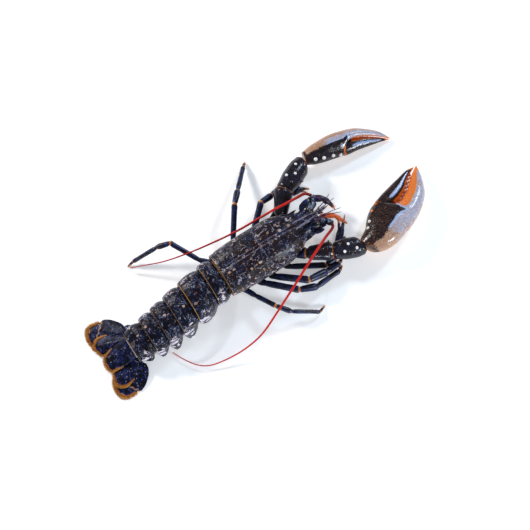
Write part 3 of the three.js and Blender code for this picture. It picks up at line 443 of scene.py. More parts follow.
def clawPaint(name, flecked, bluer=0.0):
    look = clawLook
    p = Paint(name, Roughness=0.2, IOR=1.42)
    broad = p.noise(20, 3, 0.55, offset=(7, 3, 1))
    speckle = p.noise(0.95, 3, 0.62, offset=(1, 8, 5))
    cluster = p.noise(4.6, 4, 0.62, offset=(9, 2, 6), warp=0.8)
    pits = p.cells(1.3, 1)
    pale, white, warm, under, tanned = p.marks("pale", "white", "warm", "under", "tanned")
    where = p.ragged(1.6, 1.8, offset=(2, 2, 7))
    spots, tint = p.flecks(1.7, flecked, 0.14, 0.5, where)
    dots, shade = p.flecks(1.1, 0.8, 0.12, 0.46, where)
    mottle = tanned.frayed((broad, 0.6), (cluster, 1.6), (speckle, 1.4)).step(0.08, 0.5)
    margin = p.coats(
        look["margin"],
        (speckle.step(0.5, 0.64) * 0.8, look["pearl"]),
        (mottle * 0.85, look["tan"]),
        (dots * shade * (1.3 - 0.5 * pale), look["dusk"]),
        (spots * 0.6 * tint, look["white"]),
    )
    # the shore is the bluish line where the margin meets the dark shell: partly the shell's own bluish margin,
    # partly a painted highlight along the ridge there
    shoreAndHighlight = pale.frayed((speckle, 0.3), (cluster, 0.3))
    shoreAndHighlight = shoreAndHighlight.step(0.22, 0.32) * (1 - shoreAndHighlight.step(0.56, 0.72)) * (1 - tanned.step(0.2, 0.5))
    hot = warm.frayed((speckle, 0.6), (cluster, 0.5)).step(0.4, 0.6)
    blend = cluster.step(0.4, 0.62)
    base = p.coats(
        look["black"],
        (cluster.step(0.42, 0.6) * bluer, look["blue"]),
        ((speckle * 0.7 + cluster * 0.3).step(0.47, 0.6) * flecked * 0.8, look["dusk"]),
        (dots * flecked * shade, look["dusk"]),
        (spots * (0.1 + 0.7 * tint) * cluster.step(0.38, 0.54), look["fleck"]),
        (pale.frayed((cluster, 0.9), (speckle, 1.9)).step(0.3, 0.7) * 0.96, margin),
        (shoreAndHighlight * 0.85, look["shoreAndHighlight"]),
        (under.frayed((cluster, 0.6)).step(0.4, 0.62) * 0.95, p.mix(blend, look["under"], look["tan"])),
        (hot * 0.96, p.mix(speckle.step(0.44, 0.66), look["orange"], look["amber"])),
        (white.step(0.3, 0.8), look["white"]),
    )
    height = cluster * 0.9 + speckle * 0.3 + pits.step(0.0, 0.4) * 0.25
    return p.ends(base, 0.08 + 0.2 * speckle, height, 0.45, 0.0005)


limbLook = {
    "black": (0.004, 0.005, 0.013), "navy": (0.012, 0.021, 0.095), "spot": (0.1, 0.05, 0.04),
    "paleSpot": (0.36, 0.3, 0.32), "frost": (0.34, 0.42, 0.52), "white": (0.74, 0.7, 0.68),
}


# Limb shell: deep navy, orange at the joints and tips
def limbPaint(name, hotColour, tipColour):
    look = limbLook
    p = Paint(name, Roughness=0.3, IOR=1.4)
    clouds = p.noise(5, 4, 0.6, offset=(2, 5, 7))
    fine = p.noise(1.1, 3, 0.6, offset=(6, 1, 3))
    warm, pale, white = p.marks("warm", "pale", "white")
    spots, tint = p.flecks(2.2, 0.16, 0.1, 0.3, p.ragged(1.4, 1.2))
    base = p.coats(
        look["black"],
        (clouds.step(0.42, 0.6), look["navy"]),
        (spots * 0.75, p.mix(tint, look["spot"], look["paleSpot"])),
        # frost blue where the pale mark is high; on the tops of the feeler stems this is a painted highlight
        (pale.frayed((fine, 1), (clouds, 1)).step(0.42, 0.62) * 0.85, look["frost"]),
        (warm.frayed((fine, 0.7), (clouds, 0.5)).step(0.42, 0.66) * 0.96,
         p.mix(fine.step(0.36, 0.64), hotColour, tipColour)),
        (white.step(0.3, 0.8), look["white"]),
    )
    return p.ends(base, 0.22 + 0.22 * fine, clouds * 0.7 + fine * 0.4, 0.4, 0.0006)


feelerLook = {
    "root": (0.16, 0.01, 0.006), "red": (0.56, 0.012, 0.007), "pink": (0.7, 0.035, 0.025),
    "dark": (0.3, 0.01, 0.006), "ring": (0.2, 0.006, 0.004),
}


# Feelers: ringed red whips, dark at the root and pink towards the tip
def feelerPaint(name, pinkness):
    look = feelerLook
    p = Paint(name, Roughness=0.4, Specular_IOR_Level=0.2)
    along, ring = p.marks("along", "ring")
    fine = p.noise(1.4, 3, 0.6)
    base = p.coats(
        look["root"],
        (along.step(0.0, 0.16), look["red"]),
        (along.step(0.35, 0.9) * pinkness, look["pink"]),
        (fine.step(0.45, 0.7) * 0.25, look["dark"]),
        ((1 - ring) * 0.3, look["ring"]),
    )
    return p.ends(base, 0.34 + 0.2 * fine, ring * 0.8 + fine * 0.2, 0.5, 0.0002)


def eyePaint():
    p = Paint("eyeBead", Coat_Weight=1.0, Coat_Roughness=0.03, IOR=1.5)
    facets = p.cells(0.32, 0.15)
    glow = p.noise(3.4, 2, 0.5)
    base = p.mix(glow.step(0.4, 0.75), (0.004, 0.004, 0.006), (0.03, 0.016, 0.01))
    return p.ends(base, 0.12 + 0.1 * facets.step(0.1, 0.6), 1 - facets, 0.12, 0.0001)


fanLook = {
    "black": (0.0035, 0.004, 0.009), "navy": (0.009, 0.015, 0.075), "spot": (0.22, 0.13, 0.1),
    "paleSpot": (0.6, 0.52, 0.52), "vein": (0.4, 0.36, 0.42), "seam": (0.46, 0.34, 0.3),
    "orange": (0.5, 0.17, 0.03), "rim": (0.55, 0.17, 0.03),
}


# Tail plates: navy and black patches, pale flecks, ribs, an orange line before the fringe
def fanPaint():
    look = fanLook
    p = Paint("tailPlate", Roughness=0.3, IOR=1.2)
    clouds = p.noise(4.4, 4, 0.62, offset=(3, 2, 8), warp=0.7)
    fine = p.noise(0.9, 3, 0.6, offset=(5, 2, 2))
    pale, warm, rim, seam = p.marks("pale", "warm", "rim", "seam")
    spots, tint = p.flecks(2.8, 0.42, 0.1, 0.32, p.ragged(1.8, 2.0, offset=(6, 3, 3)))
    base = p.coats(
        look["black"],
        (clouds.step(0.47, 0.56), look["navy"]),
        (spots * (0.55 + 0.4 * pale), p.mix(tint, look["spot"], look["paleSpot"])),
        (p.veins(6, 0.014, (4, 4, 2)) * clouds.step(0.5, 0.6) * 0.5, look["vein"]),
        (seam.step(0.3, 0.9) * (0.4 + 0.6 * fine.step(0.42, 0.58)), look["seam"]),
        (warm.frayed((fine, 0.6)).step(0.4, 0.7), look["orange"]),
        (rim.frayed((fine, 0.5)).step(0.45, 0.75), look["rim"]),
    )
    return p.ends(base, 0.26 + 0.2 * fine, clouds * 0.8 + fine * 0.4, 0.45, 0.0006)


fringeLook = {
    "root": (0.3, 0.06, 0.01), "tip": (0.62, 0.27, 0.035), "dark": (0.24, 0.075, 0.015), "gold": (0.7, 0.33, 0.06),
}


def fringePaint():
    look = fringeLook
    p = Paint("tailFringe", Roughness=0.6, Specular_IOR_Level=0.3)
    (along,) = p.marks("along")
    streak, tone = p.noise(0.7, 2, 0.6), p.noise(5, 3, 0.6, offset=(1, 6, 2))
    base = p.coats(
        look["root"],
        (along.step(0.1, 0.75), look["tip"]),
        (tone.step(0.42, 0.62) * 0.5, look["dark"]),
        (streak.step(0.4, 0.7) * 0.4, look["gold"]),
    )
    return p.ends(base, 0.5 + 0.2 * streak, streak, 0.5, 0.0003)


skinLook = {
    "cream": (0.62, 0.44, 0.34), "tan": (0.55, 0.27, 0.14), "pale": (0.78, 0.66, 0.58), "orange": (0.5, 0.12, 0.02),
}


def skinPaint():
    look = skinLook
    p = Paint("jointSkin", Roughness=0.45, Coat_Weight=0.3)
    tone, fine = p.noise(6, 4, 0.6), p.noise(1, 3, 0.6)
    (warm,) = p.marks("warm")
    base = p.coats(
        look["cream"],
        (tone.step(0.38, 0.62), look["tan"]),
        (fine.step(0.5, 0.72) * 0.4, look["pale"]),
        (warm.step(0.3, 0.8), look["orange"]),
    )
    return p.ends(base, 0.38 + 0.2 * fine, tone * 0.4 + fine * 0.6, 0.4, 0.0005)


carapaceFinish = shellPaint("carapaceShell", shellLook["lavender"], 0.5, 0.008, 0.8, 1.3)
tailFinish = shellPaint("tailShell", shellLook["gold"], 0.24, 0.015, 0.2, 1.2)
clawFinish = {"left": clawPaint("cutterClaw", 0.4, 0.4), "right": clawPaint("crusherClaw", 0.95)}
armFinish = clawPaint("armShell", 0.12, 0.8)
limbFinish = limbPaint("legShell", (0.42, 0.09, 0.015), (0.62, 0.27, 0.05))
mouthFinish = limbPaint("mouthLimb", (0.6, 0.04, 0.01), (0.6, 0.15, 0.03))
feelerFinish = {"left": feelerPaint("leftFeeler", 0.1), "right": feelerPaint("rightFeeler", 0.7)}
eyeFinish = eyePaint()
fanFinish = fanPaint()
fringeFinish = fringePaint()
skinFinish = skinPaint()
print("materials made")


# Carapace: an arched shell with the neck groove, a seam along the back and a rolled rear rim
carapaceSize = {
    "width": [[0, 25], [10, 26.4], [30, 27.4], [50, 27.5], [70, 26.6], [84, 23.8], [93, 20], [100, 16.5]],
    "roof": [[0, 47.5], [10, 50.5], [28, 53], [45, 54], [60, 53.6], [80, 51], [92, 48.2], [100, 46.5]],
    "margin": [[0, 17], [12, 14.8], [56, 14.8], [72, 18], [84, 22.6], [100, 24]],
    "middle": [[0, 28], [60, 28], [85, 30], [100, 32]],
    "grooveAt": 51, "grooveDepth": 1.5, "grooveWidth": 1.3, "grooveSweep": 13, "grooveReach": 30,
    "seamDepth": 0.75, "seamWidth": 0.8, "rimAt": 4.6, "rimDepth": 0.55, "rimWidth": 0.9, "cheekDepth": 0.45,
    "undercut": 35, "lips": (0.7, 0.7), "lengthSteps": 150, "roundSteps": 121,
}
carapaceSpines = [
    {"at": (96, 11.8, 44.6), "toward": (1, 0.12, 0.25), "length": 6.5, "radius": 1.7},
    {"at": (99, 16.4, 34.5), "toward": (1, 0.1, 0.08), "length": 8.5, "radius": 1.9},
    {"at": (89, 20.6, 36.2), "toward": (1, 0.45, 0.15), "length": 4.5, "radius": 1.5},
]


def carapaceShell():
    size = carapaceSize
    width, roof, margin, middle = linesOf(size, "width", "roof", "margin", "middle")
    x = places(np.linspace(0, 100, size["lengthSteps"]), [0.4, 0.9, 1.6], np.linspace(47, 55, 20))[:, None]
    lean = math.radians(size["undercut"])
    angle = np.linspace(-lean, math.pi + lean, size["roundSteps"])[None, :]
    lift = np.sin(angle)
    onBack = lift > 0.5
    y = width(x) * signedPower(np.cos(angle), 0.8)
    mid, low, top = middle(x), margin(x), roof(x)
    z = np.where(lift > 0, mid + (top - mid) * signedPower(lift, 0.86), mid + (mid - low) * lift / math.sin(lean))
    fromGroove = x - size["grooveAt"]
    window = np.maximum(0, 1 - (fromGroove / size["grooveReach"]) ** 2)
    sweep = size["grooveSweep"] * window * np.clip(1 - lift, 0, 1) ** 1.3
    groove = bell(fromGroove, size["grooveWidth"]) * smoothStep(lift, -0.45, -0.1)
    seam = bell(y, size["seamWidth"]) * onBack
    ridge = bell(np.abs(y) - 1.9, 0.8) * onBack
    rim = bell(x - size["rimAt"], size["rimWidth"]) * smoothStep(lift, -0.4, 0)
    cheekLine = bell(lift - 0.3 + 0.004 * (x - 60), 0.05) * between(x, 58, 64, 84, 92)
    cut = size["grooveDepth"] * groove + size["rimDepth"] * rim + size["cheekDepth"] * cheekLine
    shrink = 1 - cut / np.maximum(np.hypot(y, z - mid), 1)
    sunk = size["seamDepth"] * seam + 0.12 * (1 - ridge) * (np.abs(y) < 4) * onBack
    outer = pointsAt(x + sweep, y * shrink, mid + (z - mid) * shrink - sunk)
    edge = np.abs(outer[:, :1, 1])
    inner = []
    for share in np.linspace(-1, 1, 12)[1:-1]:
        depth = 0.6 + 1.8 * (1 - abs(share) ** 3)
        inner.append(pointsAt(outer[:, :1, 0], share * (edge - 1), low + depth))

    def full(values, rest=0.0):
        return np.pad(np.broadcast_to(values, y.shape), ((0, 0), (0, len(inner))), constant_values=rest)

    backLine = ridge * 0.62 * smoothStep(x, 3, 9)
    grooveLine = 0.62 * bell(fromGroove + 1.4, 0.8) * smoothStep(lift, 0.1, 0.4)
    cross = bell(fromGroove, 1.3) * bell(y, 3.2) * onBack
    rimLine = (1 - smoothStep(x, 0.1, 0.6)) * smoothStep(lift, -0.3, 0.1)
    marks = {
        "seam": full(np.maximum(backLine, grooveLine)), "warm": full(np.maximum(rimLine, cross * 0.8)),
        "pale": full(0.3 + 0.3 * smoothStep(-lift, -0.75, 0.2), 0.2),
    }
    return sheath(np.concatenate([outer] + inner, 1), marks, size["lips"])


# The beak: shape has its place along the body, half width, top and depth; spines have place, out and length
rostrumSize = {
    "from": 84, "to": 135.8, "shape": [
        [84, 6.5, 47.8, 5], [95, 6.6, 47.6, 4.4], [104, 5.4, 47.2, 3.6], [114, 4.1, 46.6, 2.9],
        [124, 2.7, 46.3, 2.2], [131, 1.5, 46.4, 1.4], [136, 0.3, 46.8, 0.3],
    ],
    "ridgeAt": 0.55, "ridgeHeight": 0.6, "channelDepth": 0.5, "lengthSteps": 60, "acrossSteps": 25,
    "spines": [[112.4, 4.0, 5.4], [117.4, 3.3, 5.2], [124, 2.3, 4.8]], "spineHeight": 46, "spineRadius": 1.15,
}


def rostrumBeak():
    size = rostrumSize
    half, ridge, drop = (through([[row[0], row[i]] for row in size["shape"]]) for i in (1, 2, 3))
    x = np.linspace(size["from"], size["to"], size["lengthSteps"])[:, None]
    across = np.linspace(-1, 1, size["acrossSteps"])
    inside, edges = across[1:-1], np.abs(across) - size["ridgeAt"]
    top = ridge(x) - drop(x) * 0.35 * np.abs(across) ** 2.2
    top = top + size["ridgeHeight"] * bell(edges, 0.22) - size["channelDepth"] * bell(across, 0.28)
    low = ridge(x) - drop(x) * (1 - inside ** 2) ** 0.6 - drop(x) * 0.2
    upper = pointsAt(x, half(x) * across, top)
    lower = pointsAt(x, half(x) * inside, low)[:, ::-1]
    line = np.pad(bell(edges, 0.2) * 0.7 + 0 * x, ((0, 0), (0, inside.size)))
    marks = {"seam": line, "warm": smoothStep(x, 126, 135) * 0.9, "pale": 0.25}
    parts = [sheath(np.concatenate([upper, lower], 1), marks)]
    for side in sides.values():
        for at, out, length in size["spines"]:
            root, toward = mirrored((at, out, size["spineHeight"]), side), mirrored((1, 0.45, 0.35), side)
            parts.append(thorn(root, toward, length, size["spineRadius"], {"tip": 0.9}))
    return parts


shellParts = [carapaceShell()] + rostrumBeak()
for side in sides.values():
    for spine in carapaceSpines:
        at, toward = mirrored(spine["at"], side), mirrored(spine["toward"], side)
        shellParts.append(thorn(at, toward, spine["length"], spine["radius"], {"tip": 0.95}))
makePiece("carapace_shell", shellParts, carapaceFinish, ["carapace"])
print("carapace made")


# Sternum: the pale floor of the chest, in plates between the legs
sternumSize = {
    "from": 2.5, "to": 96, "seams": (20.5, 37.5, 54.5, 71.5), "seamWidth": 0.9, "middle": 9.5, "lowest": 2.5,
    "outline": [(13, 6), (13, 14.4), (9, 16.6), (-9, 16.6), (-13, 14.4), (-13, 6), (-5, 2.5), (5, 2.5)],
}


def sternumPlates():
    size = sternumSize
    x = np.linspace(size["from"], size["to"], 120)[:, None]
    seams = sum(bell(x - at, size["seamWidth"]) for at in size["seams"])
    outline = np.array([(0, *p) for p in size["outline"] + size["outline"][:1]], float)
    _, y, z = resample(outline, 57)[:-1].T
    ends = 1 - between(x, 2.5, 5.5, 91, 96)
    y = y * (1 - 0.06 * seams - 0.08 * ends)
    z = size["middle"] + (z - size["middle"]) * (1 - 0.1 * seams - 0.2 * ends)
    return sheath(pointsAt(x, y, np.maximum(z, size["lowest"])), {"warm": seams * 0.5})


makePiece("chest_floor", [sternumPlates()], skinFinish, ["sternum"])


# Limbs: straight lengths that meet in mitred joints, each with a narrower neck and a low collar
jointSize = {"neck": 0.14, "neckWidth": 1.5, "collar": 0.03, "collars": [(3.2, 1.3), (3.0, 1.2)], "warmWidth": 1.3}


def lengthRings(ends, normals, shape, around, steps, necks):
    size = jointSize
    start, along = ends[0], ends[1] - ends[0]
    span = np.linalg.norm(along)
    direction = along / span
    across = unit(np.cross(upward, direction))
    shape = np.array([[*row, row[-1]][:3] for row in shape], float)
    wide, thick = (through(shape[:, [0, i]]) for i in (1, 2))
    share = np.linspace(shape[0, 0], shape[-1, 0], steps)
    leans = [np.maximum(0, 1 - 4 * away)[:, None] for away in (share, 1 - share)]
    normal = direction * (1 - sum(leans)) + normals[0] * leans[0] + normals[1] * leans[1]
    near = list(zip(necks, (share * span, (1 - share) * span), size["collars"]))
    joint = sum(neck * bell(away, size["warmWidth"]) for neck, away, _ in near)
    swell = 1 - sum(
        neck * (size["neck"] * bell(away, size["neckWidth"]) - size["collar"] * bell(away - at, width))
        for neck, away, (at, width) in near)
    wide, thick = ((line(share) * swell)[:, None, None] for line in (wide, thick))
    offset = circle(turns(around), across * wide, np.cross(direction, across) * thick)
    slide = -np.einsum("sac,sc->sa", offset, normal) / (normal @ direction)[:, None]
    rings = (start + share[:, None] * along)[:, None, :] + offset + slide[..., None] * direction
    return rings, joint, share


# shapes[i] shapes the length from joints[i] to joints[i + 1]
def limb(joints, shapes, startNormal=None, endNormal=None, around=24, steps=22, tipWarm=0.0, jointWarm=1.0,
         openNeck=(1, 1)):
    directions = [unit(b - a) for a, b in zip(joints, joints[1:])]
    normals = [unit(a + b) for a, b in zip(directions, directions[1:])]
    normals.insert(0, directions[0] if startNormal is None else startNormal)
    normals.append(directions[-1] if endNormal is None else endNormal)
    necks = [openNeck[0]] + [1] * (len(shapes) - 1) + [openNeck[1]]
    rings, warm = [], []
    for i, shape in enumerate(shapes):
        pair = slice(i, i + 2)
        ring, heat, share = lengthRings(joints[pair], normals[pair], shape, around, steps, necks[pair])
        heat = heat * jointWarm
        if i == len(shapes) - 1 and tipWarm:
            heat = np.maximum(heat, tipWarm * smoothStep(share / share[-1], 0.25, 0.8))
        rings.append(ring)
        warm.append(np.broadcast_to(heat[:, None], ring.shape[:2]))
    return sheath(np.concatenate(rings), {"warm": np.concatenate(warm)})


def scaled(shares, halfWidth, halfDepth):
    return [[row[0], row[1] * halfWidth, row[-1] * halfDepth] for row in shares]


hairSpots = []  # (root in mm, direction, length in mm) of each tuft of bristles on the limbs


# Rows of tufts round a length from a to b, over a share of it; the angles go round it in radians
def addBristles(a, b, share, count, angles, reach, lean, length):
    way = unit(b - a)
    level = unit(np.cross(way, upward))
    for place in share[0] + share[1] * np.arange(count) / count:
        for turn in angles:
            out = level * math.cos(turn) + upward * math.sin(turn)
            hairSpots.append((a + (b - a) * place + out * reach, out + way * lean, length))


# Walking legs: chest, under the shell edge, knee, wrist, ankle and tip; pinch is a second finger
legs = {
    "leg_2_left": {
        "size": 3.1, "pinch": (134.4, 36.8, 1.8),
        "joints": [(63, 13.3, 8), (76, 25, 7.4), (100, 38.6, 6.6), (111, 43.6, 6.4), (130.5, 42.8, 5),
                   (139.6, 37.4, 2.2)],
    },
    "leg_3_left": {
        "size": 3.3,
        "joints": [(46, 13.3, 8.6), (60, 29, 11.6), (82, 48.6, 20.6), (98, 52, 10.4), (110, 56, 4.6),
                   (117, 58, 0.4)],
    },
    "leg_4_left": {
        "size": 3.0,
        "joints": [(29, 13.3, 8.6), (33, 29, 12.4), (56, 61.4, 25), (68, 74.2, 21), (90.6, 98.6, 5.6),
                   (95.8, 103.8, 0.4)],
    },
    "leg_5_left": {
        "size": 2.7,
        "joints": [(12, 13.3, 8.6), (-8, 30.6, 13.4), (-26.2, 61.8, 25), (-40.4, 66.8, 21), (-69.6, 71.4, 5.2),
                   (-77.6, 71, 0.4)],
    },
    "leg_2_right": {
        "size": 3.2, "pinch": (155.6, -8.4, 3.6),
        "joints": [(63, -13.3, 8), (70, -26, 7.8), (105, -46.4, 8), (117.4, -45.6, 7.6), (142.5, -20.5, 6.6),
                   (147.1, -7.5, 3.4)],
    },
    "leg_3_right": {
        "size": 3.7,
        "joints": [(46, -13.3, 8.6), (50, -27, 11), (78, -53.2, 22.4), (100.6, -54.2, 14), (119, -52, 4.4),
                   (127.5, -47, 0.4)],
    },
    "leg_4_right": {
        "size": 3.5,
        "joints": [(29, -13.3, 8.6), (37, -27.4, 11.2), (64, -55.6, 17.4), (83, -62.2, 12.6), (114.2, -59.2, 5.6),
                   (121.4, -54.6, 0.4)],
    },
    "leg_5_right": {
        "size": 2.6,
        "joints": [(12, -13.3, 8.6), (21, -34, 13), (32.6, -57, 19), (43.8, -70.6, 15.4), (71, -86, 5.2),
                   (80.8, -82.4, 0.4)],
    },
}
legShape = {
    "chest": [[0, 1.35, 1.3], [0.3, 1.5, 1.35], [0.55, 1.15, 1.1], [0.9, 1.1, 1.1]],
    "merus": [[0.06, 0.84, 0.96], [0.22, 1, 1.15], [0.6, 1, 1.12], [0.9, 1.05, 1.12], [1, 1.12, 1.16]],
    "carpus": [[0, 0.84, 0.9], [0.3, 1.02, 1.06], [0.7, 1.12, 1.14], [0.94, 1.08, 1.08]],
    "propodus": [[0.04, 0.72, 0.78], [0.2, 0.9, 0.98], [0.7, 0.8, 0.92], [0.94, 0.84, 0.9]],
    "dactyl": [[0.06, 0.6, 0.64], [0.5, 0.44, 0.5], [1, 0.12, 0.14]],
    "palm": [[0.04, 0.76, 0.8], [0.25, 1.04, 1.02], [0.75, 1.3, 1.1], [1, 1.05, 0.8]],
    "finger": [[0, 0.62, 0.62], [0.5, 0.46, 0.46], [1, 0.1, 0.1]],
}
legBristles = {"angles": (0.6, 1.6, 2.6), "lean": 1.8, "length": 1.2}


def makeLeg(name, leg):
    side = sides[name.split("_")[-1]]
    chest, edge, knee, wrist, ankle, tip = vecs(leg["joints"])
    size = leg["size"]
    fit = {part: scaled(shape, size * 1.06, size * 1.02) for part, shape in legShape.items()}
    normal = bisector(edge, knee, wrist)
    upper = limb([chest, edge, knee - normal * halfGap], [fit["chest"], fit["merus"]], side * leftward, normal,
                 openNeck=(0, 1))
    joints = [knee + normal * halfGap, wrist, ankle]
    if "pinch" in leg:
        lower = [limb(joints, [fit["carpus"], fit["palm"]], normal, openNeck=(1, 0))]
        pinch = vec(*leg["pinch"])
        root = ankle + unit(wrist - ankle) * size * 0.9
        spread = unit(pinch - tip) * size * 0.45
        for start, end in ((root - spread, tip), (root + spread, pinch)):
            lower.append(limb([start, end], [fit["finger"]], tipWarm=1.0, openNeck=(0, 0)))
    else:
        shapes = [fit["carpus"], fit["propodus"], fit["dactyl"]]
        lower = [limb(joints + [tip], shapes, normal, tipWarm=1.0, openNeck=(1, 0))]
    addBristles(wrist, ankle, (0.45, 0.55), 9, reach=size * 0.8, **legBristles)
    addBristles(ankle, tip, (0.1, 0.8), 7, reach=size * 0.45, **legBristles)
    makePiece(f"{name}_upper_shell", [upper], limbFinish, [f"{name}_upper"])
    makePiece(f"{name}_lower_shell", lower, limbFinish, [f"{name}_lower"])


for legName, leg in legs.items():
    makeLeg(legName, leg)
print("walking legs made")


# Claw legs: hip, arm and wrist
arms = {
    "left": [(80, 13.3, 9.2), (91.5, 24.4, 17), (110.4, 46.6, 22), (148.2, 65.2, 12.5)],
    "right": [(80, -13.3, 9.2), (93.5, -26, 17), (117, -40.2, 23.5), (149.2, -52.3, 18)],
}
armShape = {
    "hip": [[0, 5, 5], [0.4, 6, 5.6], [0.8, 6.4, 6], [1, 6.4, 6.2]],
    "merus": [[0.02, 6.2, 6.2], [0.2, 8, 8.4], [0.6, 9.4, 9.8], [0.86, 10.6, 10.6], [1, 10.6, 10.4]],
    "carpus": [[0, 8.6, 8.4], [0.16, 10, 10], [0.45, 11.8, 11.4], [0.75, 11.6, 11.2], [0.92, 9.4, 9.4],
               [1, 7.8, 7.8]],
}
# Share of the length, angle round it from outward over the top, length, whether white
armSpines = {
    "merus": [[0.84, 150, 3.2, 0], [0.62, 165, 2.6, 0], [0.9, 60, 2.4, 0]],
    "carpus": [[0.3, 60, 2.0, 1], [0.45, 100, 1.9, 1], [0.62, 135, 2.4, 0], [0.7, 70, 2.0, 1], [0.42, 165, 3.4, 0],
               [0.2, 110, 1.4, 0], [0.82, 110, 1.6, 0], [0.55, 40, 1.6, 0]],
}
# The knobs and thorns stand on a length at its reach from the middle, less what is sunk
armSize = {
    "hipSteps": 40, "around": 56, "steps": 50, "jointWarm": 0.55, "reach": {"merus": 10, "carpus": 11.2},
    "sunk": 0.9, "knobRadius": 1.75, "thornRadius": 1.9,
}


def armKnobs(kind, start, end, side):
    size = armSize
    way = unit(end - start)
    outward = unit(np.cross(upward, way)) * side
    above = unit(upward - way * way[2])
    parts = []
    for share, angle, length, white in armSpines[kind]:
        out = outward * math.cos(math.radians(angle)) + above * math.sin(math.radians(angle))
        root = start + (end - start) * share + out * (size["reach"][kind] - size["sunk"])
        if white:
            parts.append(knob(root + out * 0.5, size["knobRadius"], {"white": 1.0}, out + 0.4 * way, 0.9))
        else:
            marks = {"tip": 0.6, "pale": 0.2}
            parts.append(thorn(root, out + way * 0.55, length + 1, size["thornRadius"], marks, 0.05))
    return parts


def makeArm(name):
    side, size = sides[name], armSize
    chest, elbow, wrist, clawJoint = vecs(arms[name])
    normals = [bisector(chest, elbow, wrist), bisector(elbow, wrist, clawJoint)]
    normals.append(bisector(wrist, clawJoint, vec(*claws[name]["tip"])))
    before = [p - n * halfGap for p, n in zip((elbow, wrist, clawJoint), normals)]
    after = [p + n * halfGap for p, n in zip((elbow, wrist), normals)]
    hip = limb([chest + mirrored((1.5, 1.5, 0), side), before[0]], [armShape["hip"]], side * leftward, normals[0],
               around=size["hipSteps"], openNeck=(0, 1))
    makePiece(f"claw_hip_{name}_shell", [hip], limbFinish, [f"claw_hip_{name}"])
    lengths = (("merus", "arm", (1, 0.9), elbow, wrist), ("carpus", "wrist", (0.9, 0.9), wrist, clawJoint))
    for i, (kind, label, neck, start, end) in enumerate(lengths):
        body = limb([after[i], before[i + 1]], [armShape[kind]], *normals[i:i + 2], around=size["around"],
                    steps=size["steps"], jointWarm=size["jointWarm"], openNeck=neck)
        parts = [body] + armKnobs(kind, start, end, side)
        makePiece(f"claw_{label}_{name}_shell", parts, armFinish, [f"claw_{label}_{name}"])


# Claws, in their own frame: s along the claw, p across it to its outer edge, q through it
claws = {
    "right": {
        "tip": (255.2, -8.5, 7), "roll": 14, "length": 114.5,
        "margin": (0.15, 0.62), "gape": -0.15, "rimTan": 0.35, "strip": 0.3, "hinge": 0.35, "fingerFrom": 54,
        "inner": [[0, -5], [4, -6.6], [10, -7.6], [17, -8.6], [23, -11.6], [34, -16], [44, -17.8], [50, -17.6],
                  [54, -10], [58, -1], [62, 5.2], [67.5, 6.4], [79, 5.4], [93, 0.8], [107.5, -3.4], [114.5, -4.4]],
        "outer": [[0, 12], [3, 17.4], [10, 23.6], [18, 27.4], [26, 29.7], [36, 30.8], [49, 31.8], [60, 31.4],
                  [71, 29.6], [80, 27], [88, 23.6], [95, 18.6], [101, 13], [106, 7.8], [110, 3.4], [114.5, -3.4]],
        "thick": [[0, 8], [6, 10.6], [20, 13.6], [38, 14.6], [52, 13.2], [66, 10.6], [82, 8.4], [98, 6],
                  [108, 3.4], [114.5, 0.9]],
        "fingerSpan": (44, 111.5),
        "fingerInner": [[44, -13], [50, -17.4], [58.5, -17], [70, -15.6], [80, -14.2], [90, -12.4], [100, -10.8],
                        [106, -8.8], [111.5, -6]],
        "fingerOuter": [[44, -4], [52, -1], [60, 1.6], [67.5, 3.2], [79, 2.4], [93, -2.4], [104, -4.8],
                        [109, -5], [111.5, -5.2]],
        "fingerThick": [[44, 8], [52, 10.4], [62, 10.4], [76, 8.8], [90, 6.6], [102, 4.2], [111.5, 0.7]],
        "teeth": {"count": 7, "from": 66, "step": 5.4, "radius": 2.5},
        "knobs": [[17, 136, 1], [24.5, 136, 1], [37, 140, 0], [46.6, 146, 0]], "knobRadius": 2.1,
    },
    "left": {
        "tip": (249, 38.7, 3.4), "roll": 42, "length": 104,
        "margin": (0.45, 0.8), "gape": 0.2, "rimTan": 0.8, "strip": 0.85, "hinge": 1.0, "fingerFrom": 50,
        "inner": [[0, -4.1], [5, -4.6], [12, -6.1], [22, -6.5], [31, -6], [42, -5.4], [46.5, -4.8], [49.5, 2],
                  [52.5, 9.6], [56, 12.9], [63, 13], [74, 11.2], [83.5, 8.2], [92.4, 4.7], [98.2, 1.6],
                  [104, -1]],
        "outer": [[0, 10.7], [5, 12.8], [12, 16.3], [22, 19.4], [31, 22], [42, 23.4], [52, 23.2], [63, 22.4],
                  [74, 19.2], [83.5, 15.3], [92.4, 10.6], [98.2, 5.6], [104, -0.4]],
        "thick": [[0, 6.4], [5, 7.4], [12, 8.6], [22, 9.6], [31, 10], [42, 10], [52, 8.8], [63, 7], [74, 5.8],
                  [83.5, 4.6], [92.4, 3.4], [98.2, 2.2], [104, 0.7]],
        "fingerSpan": (42, 102),
        "fingerInner": [[42, -1], [47.5, -5.4], [53, -5], [63, -3.2], [74, -2.4], [83.5, -1.8], [92.4, -1.3],
                        [98, -1.5], [102, -1.4]],
        "fingerOuter": [[42, 8], [50, 11.4], [57, 12], [65, 11.4], [74, 9.8], [83, 7], [92, 3.8], [98, 1],
                        [102, -0.9]],
        "fingerThick": [[42, 6], [49, 8.8], [57, 8.4], [67, 7.2], [80, 5.2], [92, 3.2], [102, 0.6]],
        "teeth": {"count": 12, "from": 58, "step": 3.1, "radius": 1.15},
        "knobs": [[12.6, 100, 1], [22.2, 108, 1], [33, 116, 1], [41.6, 128, 1]], "knobRadius": 2.3,
    },
}
clawSize = {
    "palmAround": 84, "palmSteps": 110, "fingerAround": 64, "squareness": (0.88, 0.94), "tipLength": 6,
    "knobSunk": 0.5, "hingeAt": 47.5, "toothWarm": 0.55, "toothPale": 0.7,
}


def rotated(v, axis, angle):
    return np.array(Matrix.Rotation(angle, 3, Vector(axis)) @ Vector(v))


